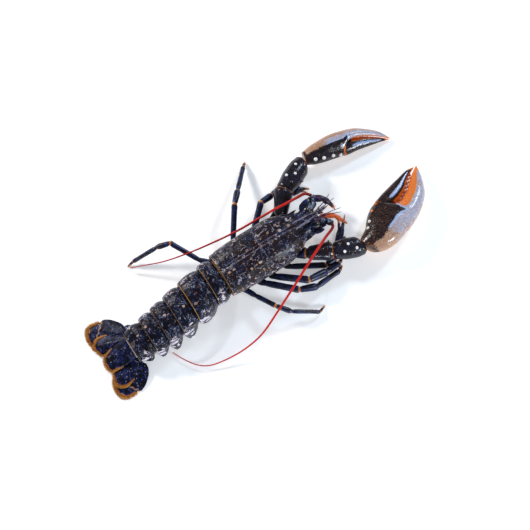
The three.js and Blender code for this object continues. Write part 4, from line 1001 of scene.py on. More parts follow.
def clawAxes(name):
    claw, side = claws[name], sides[name]
    root = vec(*arms[name][3])
    s = unit(vec(*claw["tip"]) - root)
    p = rotated(unit(np.cross(upward, s)) * side, s, side * math.radians(claw["roll"]))
    return root, s, p, np.cross(s, p) * side


# Points on a blade-like body between its inner and outer edge lines
def clawSkin(axes, lines, s, angle):
    root, sAxis, pAxis, qAxis = axes
    inner, outer, thick = (line(s) for line in lines)
    flat, deep = clawSize["squareness"]
    p = (inner + outer) / 2 + (outer - inner) / 2 * signedPower(np.cos(angle), flat)
    q = thick * signedPower(np.sin(angle), deep)
    return root + s[..., None] * sAxis + p[..., None] * pAxis + q[..., None] * qAxis


def makeClaw(name):
    claw, size = claws[name], clawSize
    axes = clawAxes(name)
    root, sAxis, pAxis, _ = axes
    palmLines = linesOf(claw, "inner", "outer", "thick")
    fingerLines = linesOf(claw, "fingerInner", "fingerOuter", "fingerThick")
    length = claw["length"]
    tipFrom = length - size["tipLength"]
    s = places([1.2, 2.2], np.linspace(3, tipFrom, size["palmSteps"]), np.linspace(44, 64, 40),
               closing(tipFrom, length, 9))
    s, angle = np.broadcast_arrays(s[:, None], turns(size["palmAround"]))
    outerness, top = np.cos(angle), np.sin(angle)
    finger = smoothStep(s, claw["fingerFrom"], claw["fingerFrom"] + 8)
    # the pale margin lies along the outer edge and takes all of the fixed finger
    pale = smoothStep(outerness, *claw["margin"]) * smoothStep(s, 0, 7)
    pale = np.maximum(pale, finger * smoothStep(outerness, -0.75, -0.35))
    gape = smoothStep(-outerness, claw["gape"], claw["gape"] + 0.3) * smoothStep(s, 55, 60)
    hinge = claw["hinge"] * bell(s - size["hingeAt"], 1.5) * smoothStep(-outerness, -0.1, 0.3)
    tip, heel = smoothStep(s, length - 10, length - 1), (1 - smoothStep(s, 2, 6)) * 0.42
    # tan at the heel of the claw, along its very edge and in a strip on its inner side
    strip = claw["strip"] * smoothStep(-outerness, 0.88, 0.98) * (1 - finger)
    tanned = np.maximum(1 - smoothStep(s, 8, 40), smoothStep(outerness, 0.86, 1.0) * claw["rimTan"]) + strip
    marks = {
        "pale": np.maximum(pale, strip) * (top > -0.6), "under": smoothStep(-top, 0.25, 0.7) * 0.8,
        "warm": np.max([tip, finger * gape, heel, hinge], 0), "tanned": tanned,
    }
    parts = [sheath(clawSkin(axes, palmLines, s, angle), marks)]
    for at, turn, white in claw["knobs"]:
        spot = clawSkin(axes, palmLines, np.array(float(at)), math.radians(turn))
        middle = root + at * sAxis + pAxis * float(palmLines[0](at) + palmLines[1](at)) / 2
        out = unit(spot - middle)
        colour = {"white": 1.0} if white else {"warm": 0.9}
        parts.append(knob(spot - out * size["knobSunk"], claw["knobRadius"], colour, out, 0.95, 18, 11))
    teeth = claw["teeth"]

    def toothRow(edge, way, offset):
        row, colour = [], {"warm": size["toothWarm"], "pale": size["toothPale"]}
        for i in range(teeth["count"]):
            at = teeth["from"] + teeth["step"] * (i + offset)
            radius = teeth["radius"] * (1 - 0.05 * i) * (0.8 if i % 2 else 1)
            place = root + at * sAxis + (float(edge(at)) + way * radius * 0.2) * pAxis
            row.append(knob(place, radius, colour, way * pAxis, 0.85, 12, 8))
        return row

    parts += toothRow(palmLines[0], -1, 0)
    makePiece(f"claw_palm_{name}_shell", parts, clawFinish[name], [f"claw_palm_{name}"])

    low, high = claw["fingerSpan"]
    run = places(np.linspace(0.09, 0.93, 80), closing(0.93, 1, 8))
    run, angle = np.broadcast_arrays(run[:, None], turns(size["fingerAround"]))
    outerness, top = np.cos(angle), np.sin(angle)
    marks = {
        "warm": np.max([
            smoothStep(run, 0.84, 0.99), smoothStep(outerness, 0.62, 0.92) * smoothStep(run, 0.2, 0.3) * 0.95,
            (1 - smoothStep(run, 0.1, 0.15)) * 0.5, 0.5 * smoothStep(-outerness, 0.7, 1.0)], 0),
        # a pale strip along the finger, which the claw paint draws in the bluish shore colour: a painted highlight
        # streak
        "pale": 0.52 * bell(outerness - 0.3, 0.24) * between(run, 0.15, 0.35, 0.75, 0.95),
        "under": smoothStep(-top, 0.25, 0.7) * 0.8,
    }
    parts = [sheath(clawSkin(axes, fingerLines, low + (high - low) * run, angle), marks)]
    parts += toothRow(fingerLines[1], 1, 0.5)
    makePiece(f"claw_finger_{name}_shell", parts, clawFinish[name], [f"claw_finger_{name}"])


for name in sides:
    makeArm(name)
    makeClaw(name)
print("claws made")


# Abdomen: six overlapping rings with side lobes that reach down to the floor
tailLine = -11.4  # the tail's sideways place at the fan
abdomenLine = through([[-150, -11.6], [-110, -11.4], [-85, -10.6], [-60, -7.6], [-35, -3.8], [-12, -0.8], [0, 0]])
abdomenWidth = through([[-121, 17], [-112, 19.2], [-100, 20.6], [-84, 22.2], [-66, 23.2], [-45, 24], [-18, 24.2],
                        [0, 22.8]])
abdomenRoof = through([[-121, 25.5], [-110, 30.5], [-100, 34], [-84, 38.5], [-66, 42.2], [-45, 45], [-18, 47],
                       [0, 46]])
abdomenRings = [
    {"from": -0.3, "to": -18, "lobe": 0.3, "tip": 15, "back": 0.7, "flare": 0},
    {"from": -18, "to": -45, "lobe": 1, "tip": 0.6, "back": 0.6, "flare": 0.8},
    {"from": -45, "to": -66, "lobe": 1, "tip": 0, "back": 0.72, "flare": 2.6},
    {"from": -66, "to": -84, "lobe": 1, "tip": 0, "back": 0.74, "flare": 3.8},
    {"from": -84, "to": -100, "lobe": 1, "tip": 0, "back": 0.76, "flare": 3},
    {"from": -100, "to": -121, "lobe": 0.55, "tip": 5.4, "back": 0.6, "flare": 0.6},
]
lobeShare = through([[0, 0.12], [0.22, 0.62], [0.5, 0.97], [0.72, 1], [0.9, 0.66], [1, 0.22]])
ringSwell = through([[0, -2.4], [0.1, -1.5], [0.25, 0.2], [0.55, 1.3], [0.85, 1.1], [1, 0.4]])
ringSize = {
    "over": 81, "down": 22, "grooveAt": 0.26, "grooveDepth": 0.55, "rimDepth": 0.5, "lobeWhite": 0.62,
    "lips": (0.7, 0.7), "gold": [1.0, 0.95, 0.6, 0.6, 0.6, 0.6],
}


def abdomenShell(n):
    ring, size = abdomenRings[n], ringSize
    over, down = size["over"], size["down"] - 1
    share = places(np.linspace(0, 1, 44), [0.97, 0.985, 0.995])[:, None]
    overlap = 0.3 if n < len(abdomenRings) - 1 else 0
    x = ring["from"] + (ring["to"] - ring["from"] + overlap) * share
    swell = ringSwell(share)
    centre, width, roof = abdomenLine(x), abdomenWidth(x) + swell, abdomenRoof(x) + swell
    middle = 0.42 * roof
    reach = lobeShare(share ** (math.log(0.66) / math.log(ring["back"]))) * ring["lobe"]
    low = middle - (middle - ring["tip"]) * np.maximum(reach, 0.3)
    angle = np.linspace(0, math.pi, over)[None, :]
    lift, aside = np.sin(angle), np.abs(np.cos(angle))
    # a shallow groove behind the front band and a rolled back rim
    groove = bell(share - size["grooveAt"], 0.022) * smoothStep(lift, 0.05, 0.3)
    rim = smoothStep(share, 0.94, 1.0) * size["rimDepth"] * 0.4
    y = (width - 0.5 * groove - rim) * signedPower(np.cos(angle), 0.82)
    z = middle + (roof - size["grooveDepth"] * groove - rim - middle) * lift ** 0.86
    outer = pointsAt(x, centre + y, z)
    spread = ring["flare"] * np.minimum(1, reach)
    wallShape = [(0, 0.0), (0.5 * spread - 0.2, 0.5), (spread - 0.6, 0.94), (spread - 1.8, 1.0),
                 (spread - 3.4, 0.9), (-6.4, 0.42)]

    def wall(way):
        path = [pointsAt(x, centre + way * (width + out), middle - (middle - low) * drop) for out, drop in wallShape]
        return resample(np.concatenate(path, 1), size["down"])[:, 1:]

    belly = np.maximum(low + 1, np.minimum(middle - 3, 12))
    under = pointsAt(x, centre + width * [-0.4, -0.13, 0.13, 0.4], belly)
    rings = np.concatenate([outer, wall(-1), under, wall(1)[:, ::-1]], 1)
    edge, pale, white, lobe = (np.zeros(rings.shape[:2]) for _ in range(4))
    band = smoothStep(share, 0.965, 0.985) * size["gold"][n]
    if n == 0:
        band = np.maximum(band, 0.8 * (1 - smoothStep(share, 0.03, 0.08)))
    edge[:, :over] = band * smoothStep(lift, 0.1, 0.4)
    lobe[:, over:over + down] = np.linspace(0, 1, down)
    lobe[:, -down:] = np.linspace(1, 0, down)
    pale[:, :over] = 0.2 + 0.8 * smoothStep(aside, 0.45, 0.95) * smoothStep(share, 0.3, 0.5)
    pale = np.maximum(pale, 0.45 * (lobe > 0))
    # a pale lip along the fold of the lobe and its hind edge
    white = np.maximum(1 - smoothStep(lobe, 0.1, 0.35), 0.6 * smoothStep(share, 0.8, 0.95)) * (lobe > 0)
    white[:, :over] = smoothStep(aside, 0.93, 0.985)
    white *= size["lobeWhite"] * smoothStep(share, 0.3, 0.6)
    return sheath(rings, {"seam": edge, "pale": pale, "white": white}, size["lips"])


# Swimmerets: pairs of thin paddles under rings two to five; each has its start and its lean, outward
swimmeretSize = {
    "at": 0.45, "apart": 8.5, "top": 13.0, "drop": 8.0, "length": 10, "paddles": ((-1.4, 1.25), (1.9, 1.8)),
    "half": [[0, 1.0], [0.2, 1.7], [0.7, 2.2], [1, 0.5]], "thick": [[0, 1.1], [0.3, 0.6], [1, 0.25]],
}


def swimmeretPair(n, side):
    ring, size = abdomenRings[n], swimmeretSize
    x = ring["from"] + (ring["to"] - ring["from"]) * size["at"]
    y = float(abdomenLine(x)) + side * size["apart"]
    share, angle = np.linspace(0, 1, 24)[:, None], turns(16)
    half, thick = (line(share) for line in linesOf(size, "half", "thick"))
    parts = []
    for out, turn in size["paddles"]:
        px = x - size["length"] * share + 0.6 * thick * np.sin(angle)
        py = y + side * (out + turn * share) + half * np.cos(angle)
        pz = size["top"] - size["drop"] * share + thick * np.sin(angle)
        parts.append(sheath(pointsAt(px, py, pz), {"warm": 0.4 + 0.6 * share}))
    return parts


for n in range(6):
    makePiece(f"tail_ring_{n + 1}", [abdomenShell(n)], tailFinish, [f"abdomen_{n + 1}"])
    if 1 <= n <= 4:
        paddles = swimmeretPair(n, 1) + swimmeretPair(n, -1)
        makePiece(f"swimmerets_{n + 1}", paddles, skinFinish)
print("tail rings made")


# Tail fan: a middle plate and two paddles on each side, each ending in a fringe
fanPlates = {
    "telson": {
        "root": (-121.3, 0), "headings": {"middle": 0}, "length": 35.4, "fringe": 0.22,
        "fringeTo": 0.5, "ribs": (-5.5, 5.5),
        "inner": [[0, -12], [0.3, -12.4], [0.7, -12], [0.88, -11.2], [0.96, -8], [1, -4]],
        "outer": [[0, 12.4], [0.3, 12.4], [0.7, 11.4], [0.86, 9.4], [0.95, 6], [1, 1]],
        "heights": [[0, 14.4], [0.3, 11.4], [0.7, 7.6], [1, 5.2]],
        "thick": [[0, 5.4], [0.25, 2.8], [0.6, 1.4], [0.86, 0.9], [1, 0.5]],
    },
    "endopod": {
        "root": (-121, 11.5), "headings": {"left": 22, "right": 23}, "length": 39, "fringe": 0.21,
        "fringeTo": 0.5, "ribs": (0.0, -1.6),
        "inner": [[0, -4.5], [0.3, -9], [0.6, -13], [0.76, -13], [0.89, -7.6], [1, -3]],
        "outer": [[0, 4], [0.3, 8], [0.6, 10.6], [0.8, 9.6], [0.92, 5.6], [1, -1]],
        "heights": [[0, 9], [0.3, 6.8], [0.7, 4.4], [1, 2.8]],
        "thick": [[0, 2.6], [0.25, 1.4], [0.6, 0.9], [1, 0.5]],
    },
    "exopod": {
        "root": (-119, 17.5), "headings": {"left": 46, "right": 35}, "length": 45.5, "fringe": 0.22,
        "fringeTo": 0.74, "ribs": (0.0, -1.6),
        "inner": [[0, -4], [0.2, -10], [0.4, -18], [0.57, -23.5], [0.69, -22.6], [0.87, -17], [0.96, -11], [1, -6]],
        "outer": [[0, 5], [0.1, 9.6], [0.25, 12.2], [0.45, 13], [0.6, 12], [0.78, 8], [0.95, 1.7], [1, -3]],
        "heights": [[0, 6.4], [0.3, 3.6], [0.7, 1.1], [1, 0.4]],
        "thick": [[0, 2.4], [0.25, 1.4], [0.6, 0.9], [1, 0.5]],
    },
}
plateSize = {
    "heart": 0.45, "dome": 1.3, "ribHeight": 0.35, "ribWidth": 0.5, "jointAt": 0.7, "jointDepth": 0.45,
    "around": 88, "hairEvery": 0.24, "hairSunk": 0.7,
}
fringeSpots = []  # (root in mm, direction, length in mm) of the hairs round the fan


def makePlate(kind, name):
    plate, size = fanPlates[kind], plateSize
    side = sides.get(name, 1)
    outermost = kind == "exopod"
    heading = math.radians(plate["headings"][name])
    direction = vec(-math.cos(heading), side * math.sin(heading), 0)
    across = vec(math.sin(heading), side * math.cos(heading), 0)
    root = vec(plate["root"][0], tailLine + side * plate["root"][1], 0)
    inner, outer, heights, thick = linesOf(plate, "inner", "outer", "heights", "thick")

    # the hard blade: the full outline drawn in towards its heart, where the fringe fills the rest
    def drawnIn(share, p):
        pull = plate["fringe"] * smoothStep(share, 0.35, 0.8)
        centre = 0.5 * (inner(share) + outer(share))
        sideways = pull * np.where(outermost & (p > centre), smoothStep(share, 0.66, 0.8), 1)
        fromHeart = share - size["heart"]
        return share - fromHeart * pull * (fromHeart > 0), centre + (p - centre) * (1 - sideways)

    def placed(share, p, z):
        point = root + share[..., None] * plate["length"] * direction + p[..., None] * across
        point[..., 2] = z
        return point

    share = places(np.linspace(0.01, 0.94, 60), closing(0.94, 1, 14))
    share, angle = np.broadcast_arrays(share[:, None], turns(size["around"]))
    half = 0.5 * (outer(share) - inner(share))
    run, p = drawnIn(share, 0.5 * (inner(share) + outer(share)) + half * np.cos(angle))
    dome = size["dome"] * np.sin(angle) ** 2 * np.minimum(1, half / 10)
    rings = placed(run, p, heights(run) + dome + thick(run) * signedPower(np.sin(angle), 0.7))
    ribs = sum(bell(p - at * (0.4 + 0.6 * share), size["ribWidth"]) for at in plate["ribs"])
    ribs = ribs * between(share, 0.06, 0.2, 0.8, 0.95)
    top = np.sin(angle) > 0
    rings[..., 2] += size["ribHeight"] * ribs * top
    edge = smoothStep(np.abs(np.cos(angle)), 0.985, 0.998) * (share > 0.5)
    marks = {"pale": 0.35 + 0.3 * ribs, "rim": 0.9 * np.maximum(smoothStep(share, 0.965, 0.99), edge)}
    if outermost:
        # the joint across the outer paddle, along a wavy line
        cross = share - size["jointAt"] + 0.02 * np.sin(p * 1.1)
        rings[..., 2] -= size["jointDepth"] * bell(cross, 0.018) * top
        marks["seam"] = bell(cross, 0.022)
        marks["warm"] = bell(cross + 0.03, 0.016) * smoothStep(p, -16, -6) * 0.7
    pieceName, nodeName = f"tail_{kind}_{name}_plate", f"fan_{kind}_{name}"
    if kind == "telson":
        pieceName, nodeName = "tail_telson_plate", "telson"
    makePiece(pieceName, [sheath(rings, marks)], fanFinish, [nodeName])

    # roots of the fringe stand on the hard edge, and its tips on the full outline
    steps, endSteps = 200, 60
    s = np.concatenate([np.linspace(0.5, 1, steps), np.ones(endSteps), np.linspace(1, plate["fringeTo"], steps)])
    p = np.concatenate([inner(s[:steps]), np.linspace(inner(1), outer(1), endSteps), outer(s[-steps:])])
    run = runAlong(placed(s, p, heights(s)))
    even = np.arange(0, run[-1], size["hairEvery"])
    s, p = np.interp(even, run, s), np.interp(even, run, p)
    inS, inP = drawnIn(s, p)
    for a, b in zip(placed(inS, inP, heights(inS)), placed(s, p, heights(s))):
        span, sunk = np.linalg.norm(b - a), size["hairSunk"]
        if span > sunk:
            fringeSpots.append((a - unit(b - a) * sunk, b - a, span + sunk))


makePlate("telson", "middle")
for name in sides:
    makePlate("endopod", name)
    makePlate("exopod", name)

# Stubs that carry the paddles, from under the last ring
fanStubs = {
    "left": [(-108, 0.6, 12), (-117.4, 11, 7.6)],
    "right": [(-106.5, -22.8, 12), (-112.6, -32, 7.6)],
}
stubShape = [[0.3, 6.2, 5.4], [0.6, 6.6, 5.2], [0.75, 6.5, 4.6], [0.92, 5.6, 3.8], [1, 4.6, 3.0]]
for name, ends in fanStubs.items():
    stub = limb(vecs(ends), [stubShape], around=36, steps=26, openNeck=(0, 0.4), tipWarm=0.3)
    makePiece(f"tail_stub_{name}", [stub], tailFinish, [f"fan_stub_{name}"])
print("tail fan made")


# Head: the soft front of the body under the beak, as place along the body, half width, lowest and highest point
headShape = [(100.3, 14.8, 13, 40.6), (103, 14.7, 12.7, 40.9), (105.5, 14.6, 12.5, 41), (107.5, 14, 13, 40.6)]


def headRings():
    rings = []
    for x, wide, low, top in headShape:
        corners = [(1, low + 5), (1, top - 7), (0.62, top), (0, top + 0.4), (-0.62, top), (-1, top - 7),
                   (-1, low + 5), (-0.6, low), (0.6, low), (1, low + 5)]
        rings.append(resample([[x, wide * a, z] for a, z in corners], 73)[:-1])
    return resample(np.array(rings).swapaxes(0, 1), 16).swapaxes(0, 1)


makePiece("head_front", [sheath(headRings(), {"pale": 0.35})], limbFinish, ["head"])


# A smooth line through its points, sampled evenly, and its length
def threaded(points, count):
    points = np.asarray(points, float)
    p = np.vstack([2 * points[0] - points[1], points, 2 * points[-1] - points[-2]])
    gap = np.sqrt(np.linalg.norm(np.diff(p, axis=0), axis=1))
    t = np.linspace(0, 1, 60, endpoint=False)[:, None]
    rise = t * t * (3 - 2 * t)
    spans = []
    for i in range(1, len(p) - 2):
        before, a, b, after = p[i - 1:i + 3]
        g, h, k = gap[i - 1:i + 2]
        leave = h * ((a - before) / g - (b - before) / (g + h) + (b - a) / h)
        arrive = h * ((b - a) / h - (after - a) / (h + k) + (after - b) / k)
        spans.append(a + (b - a) * rise + leave * t * (1 - t) ** 2 - arrive * t * t * (1 - t))
    line = np.vstack(spans + [points[-1:]])
    run = runAlong(line)
    even = np.linspace(0, run[-1], count)
    return np.stack([np.interp(even, run, c) for c in line.T], 1), run[-1]


# A tube round a line of points; its first ring may lie in a given plane
def tube(line, radius, around, marks=None, startNormal=None):
    direction = unit(np.gradient(line, axis=0))
    side = unit(np.cross(upward + 0.02 * forward, direction))
    offset = circle(turns(around), side[:, None], np.cross(direction, side)[:, None])
    offset = offset * radius[:, None, None]
    if startNormal is not None:
        slide = -offset[0] @ startNormal / float(direction[0] @ startNormal)
        offset[0] += slide[:, None] * direction[0]
    return sheath(line[:, None] + offset, marks)


# Eyes on their stalks
eyeSize = {
    "radius": 3.68, "root": (107.8, 6.8, 37.2), "look": (0.75, 0.55, 0.35),
    "stalk": [[0, 2.6], [0.35, 2.1], [0.62, 2.9], [0.9, 3.1]],
}

for name, side in sides.items():
    centre = mirrored(eyeSpot, side)
    stalk = limb([mirrored(eyeSize["root"], side), centre], [eyeSize["stalk"]], forward, steps=20, openNeck=(0, 0))
    ball = knob(centre, eyeSize["radius"], {}, mirrored(eyeSize["look"], side), 1.0, 40, 25)
    makePiece(f"eye_stalk_{name}_skin", [stalk], limbFinish, [f"eye_stalk_{name}"])
    makePiece(f"eye_{name}_bead", [ball], eyeFinish, [f"eye_{name}"])


# Feelers: a three-part stem with a pointed scale, then a ringed whip swept back
stemShape = [
    scaled([[0, 1], [0.3, 1.08], [0.7, 1.05], [1, 1]], 5.6, 5.4),
    scaled([[0.06, 0.86], [0.4, 0.98], [0.92, 0.98]], 4.9, 4.7),
    scaled([[0.08, 0.8], [0.5, 0.9], [0.9, 0.86]], 3.9, 3.7),
]
feelers = {
    "left": {
        "stem": [(107.8, 9.6, 27), (119, 11.5, 27.6), (128.5, 16, 28.6), (130.6, 23.6, 30)],
        "scale": {"root": (111, 14.2, 32.2), "tip": (125, 22, 32.8), "width": 4.2, "spine": (115.6, 18.6, 32.4)},
        "whip": [(130.6, 23.6, 30), (124.6, 27.2, 35.5), (113, 27.4, 38.6), (99.5, 28, 39.6), (90, 28.4, 41.5),
                 (62, 29.3, 41), (38, 30.4, 39.5), (8, 35, 35.5), (-17, 40.6, 29.5), (-46, 50.6, 19),
                 (-62, 59.6, 12), (-76, 66.6, 6.5)],
    },
    "right": {
        "stem": [(107.8, -9.6, 27), (119, -8.8, 27.6), (129, -9, 28.6), (132.2, -15.8, 30)],
        "scale": {"root": (110.5, -12.8, 32.2), "tip": (121.6, -17.4, 32.8), "width": 3.8,
                  "spine": (112.6, -15, 32.4)},
        "whip": [(132.2, -15.8, 30), (129.4, -20.6, 34.6), (114.7, -27.3, 39.5), (94.3, -36.5, 40),
                 (77.2, -44.3, 37), (61, -51.6, 33.5), (29, -65.4, 25), (2.4, -75.9, 17), (-12.8, -77.6, 13),
                 (-24.2, -78, 10.5), (-38.9, -76.4, 7.5), (-65.1, -69.9, 4), (-78.8, -53, 3), (-86, -37.5, 3)],
    },
}
whipSize = {"root": 1.75, "tip": 0.5, "taper": 1.1, "ringEvery": 1.15, "ringDepth": 0.12, "easing": 1500}
scaleShape = [[0, 0.6], [0.3, 1], [0.62, 0.8], [0.85, 0.42], [1, 0.08]]


def feelerScale(size, side):
    root, along = vec(*size["root"]), vec(*size["tip"]) - vec(*size["root"])
    across = unit(np.cross(upward, unit(along))) * side
    half = through(scaleShape)
    share, angle = np.linspace(0.01, 0.995, 30)[:, None], turns(28)
    wide = half(share) * size["width"] * np.cos(angle)
    deep = 1.05 * np.sin(angle) * np.minimum(1, 4 * (1.02 - share)) - 0.25 * bell(wide, 0.9) * (np.sin(angle) > 0)
    rings = root + share[..., None] * along + wide[..., None] * across + deep[..., None] * upward
    marks = {"pale": smoothStep(np.abs(np.cos(angle)), 0.8, 1) * 0.5, "warm": smoothStep(share, 0.86, 1) * 0.8}
    spine = thorn(vec(*size["spine"]), mirrored((1, 1.1, 0.1), side), 5, 1.25, {"tip": 0.9})
    return [sheath(rings, marks), spine]


def makeFeeler(name):
    feeler, side, size = feelers[name], sides[name], whipSize
    a, b, c, d = vecs(feeler["stem"])
    route = vecs(feeler["whip"])
    stemEnd = bisector(c, d, route[1])
    stem = limb([a, b, c, d - stemEnd * halfGap], stemShape, forward, stemEnd, around=36, openNeck=(0, 0.4),
                jointWarm=0.5)
    stem["marks"]["pale"] = 0.5 * smoothStep(stem["points"][:, 2], 29, 33)  # the tops of the joints are painted pale blue: a painted highlight
    makePiece(f"antenna_stem_{name}_shell", [stem] + feelerScale(feeler["scale"], side), limbFinish,
              [f"antenna_stem_{name}"])
    route[0] = route[0] + stemEnd * halfGap
    _, length = threaded(route, 2)
    count = int(length / size["ringEvery"] * 4)
    line, _ = threaded(route, count)
    share = np.linspace(0, 1, count)
    # past the root the bends between the points of the route are eased
    eased = line.copy()
    for _ in range(size["easing"]):
        eased[1:-1] = (eased[:-2] + 2 * eased[1:-1] + eased[2:]) / 4
    line = line + (eased - line) * smoothStep(share, 0.2, 0.35)[:, None]
    ring = 0.5 + 0.5 * np.cos(np.arange(count) % 4 / 4 * 2 * math.pi)
    radius = size["root"] + (size["tip"] - size["root"]) * share ** size["taper"]
    radius = radius * (1 - size["ringDepth"] * (1 - ring))
    whip = tube(line, radius, 12, {"along": share[:, None], "ring": ring[:, None]}, stemEnd)
    makePiece(f"antenna_{name}_whip", [whip], feelerFinish[name],
              [f"antenna_root_{name}", f"antenna_tip_{name}"], sharpAngle=60)


# Inner feelers: a stem that forks in two fine threads
antennuleSize = {
    "stem": [[0, 1.9], [0.5, 1.6], [1, 1.3]], "root": (107.8, 2.8, 34.2), "fork": (124, 3.6, 36.6), "steps": 60,
    "outer": [(135, 7.5, 38.5), (146, 12, 38.5)], "inner": [(136, 4.6, 36), (149, 6.5, 34)],
}


def makeAntennule(name):
    side, size = sides[name], antennuleSize
    root, fork = mirrored(size["root"], side), mirrored(size["fork"], side)
    parts = [limb([root, fork], [size["stem"]], forward, steps=18, openNeck=(0, 0))]
    share = np.linspace(0, 1, size["steps"])
    radius = (0.7 - 0.4 * share) * (1 - 0.1 * (np.arange(size["steps"]) % 3 == 0))
    for way in ("outer", "inner"):
        line, _ = threaded([fork - 1.6 * forward] + [mirrored(p, side) for p in size[way]], size["steps"])
        parts.append(tube(line, radius, 10, {"warm": share[:, None] ** 3 * 0.45}))
    makePiece(f"antennule_{name}_thread", parts, limbFinish, [f"antennule_{name}"])


# Mouth limbs, folded in front of the head
maxillipeds = {
    "left": {
        "size": 3.9, "warm": 0.4,
        "joints": [(107.8, 6.6, 16.8), (120, 15.5, 16.4), (131, 23, 19.5), (141, 16, 21), (145.2, 8, 18.6),
                   (147.2, -0.4, 15.4)],
    },
    "right": {
        "size": 2.9, "warm": 0.85,
        "joints": [(107.8, -5.6, 17.6), (121, -1.8, 19.5), (131.6, -1, 22.2), (141.6, -8.2, 21.4),
                   (145.2, -14.6, 18.4), (149.4, -21.8, 15)],
    },
}
maxillipedShape = [
    [[0.1, 0.92], [0.5, 1.05], [0.9, 1]], [[0.12, 0.86], [0.5, 1.04], [0.88, 0.96]],
    [[0.14, 0.8], [0.5, 0.94], [0.86, 0.74]], [[0.14, 0.6], [0.6, 0.4], [1, 0.08]],
]
mouthBristles = {"angles": (0.5, 1.2, 1.9, 2.6), "lean": 1.6, "length": 1.1}


def makeMaxilliped(name):
    size, warm = maxillipeds[name]["size"], maxillipeds[name]["warm"]
    joints = vecs(maxillipeds[name]["joints"])
    shapes = [scaled([[0, 1], [0.3, 1.1], [0.9, 1]], 3.6, 4)]
    shapes += [scaled(rows, size, size) for rows in maxillipedShape]
    part = limb(joints, shapes, forward, tipWarm=0.9, jointWarm=0.5, openNeck=(0, 0))
    part["marks"]["warm"] = np.maximum(part["marks"]["warm"], warm)
    makePiece(f"maxilliped_{name}_shell", [part], mouthFinish, [f"maxilliped_{name}"])
    for i, count, thick in ((2, 8, 0.8), (3, 8, 0.68), (4, 6, 0.56)):
        addBristles(joints[i], joints[i + 1], (0.1, 0.85), count, reach=size * thick, **mouthBristles)


for name in sides:
    makeFeeler(name)
    makeAntennule(name)
    makeMaxilliped(name)
print("feelers and mouth limbs made")


# Hairs as Geometry Nodes: one tapered, bent cone on each root, in tufts
def hairTree():
    tree = bpy.data.node_groups.new("hairTufts", "GeometryNodeTree")
    face = tree.interface
    for label, kind in (("Geometry", "Geometry"), ("Hairs per Root", "Int"), ("Hair Width", "Float"),
                        ("Spread", "Float"), ("Jitter", "Float"), ("Bend", "Float"), ("Sides", "Int"),
                        ("Seed", "Int"), ("Material", "Material")):
        face.new_socket(label, in_out="INPUT", socket_type=f"NodeSocket{kind}")
    face.new_socket("Geometry", in_out="OUTPUT", socket_type="NodeSocketGeometry")
    given = tree.nodes.new("NodeGroupInput").outputs

    def add(kind, settings, inputs, output=0):
        node = tree.nodes.new(kind)
        for key, value in settings.items():
            setattr(node, key, value)
        for key, value in inputs.items():
            if isinstance(value, bpy.types.NodeSocket):
                tree.links.new(value, node.inputs[key])
            else:
                node.inputs[key].default_value = value
        return node.outputs[output]

    def times(a, b):
        return add("ShaderNodeMath", {"operation": "MULTIPLY"}, {0: a, 1: b})

    def scaledBy(vector, scale):
        return add("ShaderNodeVectorMath", {"operation": "SCALE"}, {0: vector, "Scale": scale})

    def named(label, kind="FLOAT"):
        return add("GeometryNodeInputNamedAttribute", {"data_type": kind}, {"Name": label})

    def seed(number):
        return add("ShaderNodeMath", {"operation": "ADD"}, {0: given["Seed"], 1: number})

    def draw(low, high, number):
        inputs = {2: low, 3: high, "Seed": seed(number)}
        return add("FunctionNodeRandomValue", {"data_type": "FLOAT"}, inputs, 1)

    def drawVector(number):
        inputs = {0: (-1, -1, -1), 1: (1, 1, 1), "Seed": seed(number)}
        return add("FunctionNodeRandomValue", {"data_type": "FLOAT_VECTOR"}, inputs)

    points = add("GeometryNodeMeshToPoints", {}, {"Mesh": given["Geometry"], "Radius": 0.001})
    points = add("GeometryNodeDuplicateElements", {"domain": "POINT"},
                 {"Geometry": points, "Amount": given["Hairs per Root"]})
    points = add("GeometryNodeSetPosition", {},
                 {"Geometry": points, "Offset": scaledBy(drawVector(1), given["Jitter"])})
    lean = scaledBy(drawVector(2), given["Spread"])
    way = add("ShaderNodeVectorMath", {"operation": "ADD"}, {0: named("way", "FLOAT_VECTOR"), 1: lean})
    turn = add("FunctionNodeAlignRotationToVector", {"axis": "Z"}, {"Vector": way})
    width = times(given["Hair Width"], draw(0.75, 1.25, 3))
    length = times(named("reach"), draw(0.78, 1.0, 4))
    scale = add("ShaderNodeCombineXYZ", {}, {0: width, 1: width, 2: length})
    # one cone with a bend in its own shape, as a share of its length
    cone = add("GeometryNodeMeshCone", {"fill_type": "TRIANGLE_FAN"}, {
        "Vertices": given["Sides"], "Side Segments": 3, "Fill Segments": 1,
        "Radius Top": 0.12, "Radius Bottom": 1.0, "Depth": 1.0})
    height = add("ShaderNodeSeparateXYZ", {}, {0: add("GeometryNodeInputPosition", {}, {})}, 2)
    cone = add("GeometryNodeStoreNamedAttribute", {"data_type": "FLOAT", "domain": "POINT"},
               {"Geometry": cone, "Name": "along", "Value": height})
    bend = add("ShaderNodeCombineXYZ", {}, {0: times(times(height, height), given["Bend"])})
    cone = add("GeometryNodeSetPosition", {}, {"Geometry": cone, "Offset": bend})
    hairs = add("GeometryNodeInstanceOnPoints", {}, {
        "Points": points, "Instance": cone, "Rotation": turn, "Scale": scale})
    solid = add("GeometryNodeRealizeInstances", {}, {"Geometry": hairs})
    solid = add("GeometryNodeSetMaterial", {}, {"Geometry": solid, "Material": given["Material"]})
    tree.links.new(solid, tree.nodes.new("NodeGroupOutput").inputs[0])
    return tree


# Each hair's patch on a flat unwrap of the body, whose corner and span are in mm
hairPatch = {"corner": (-160, -120), "span": 420, "length": 0.003, "width": 0.0008, "lift": 0.0015}


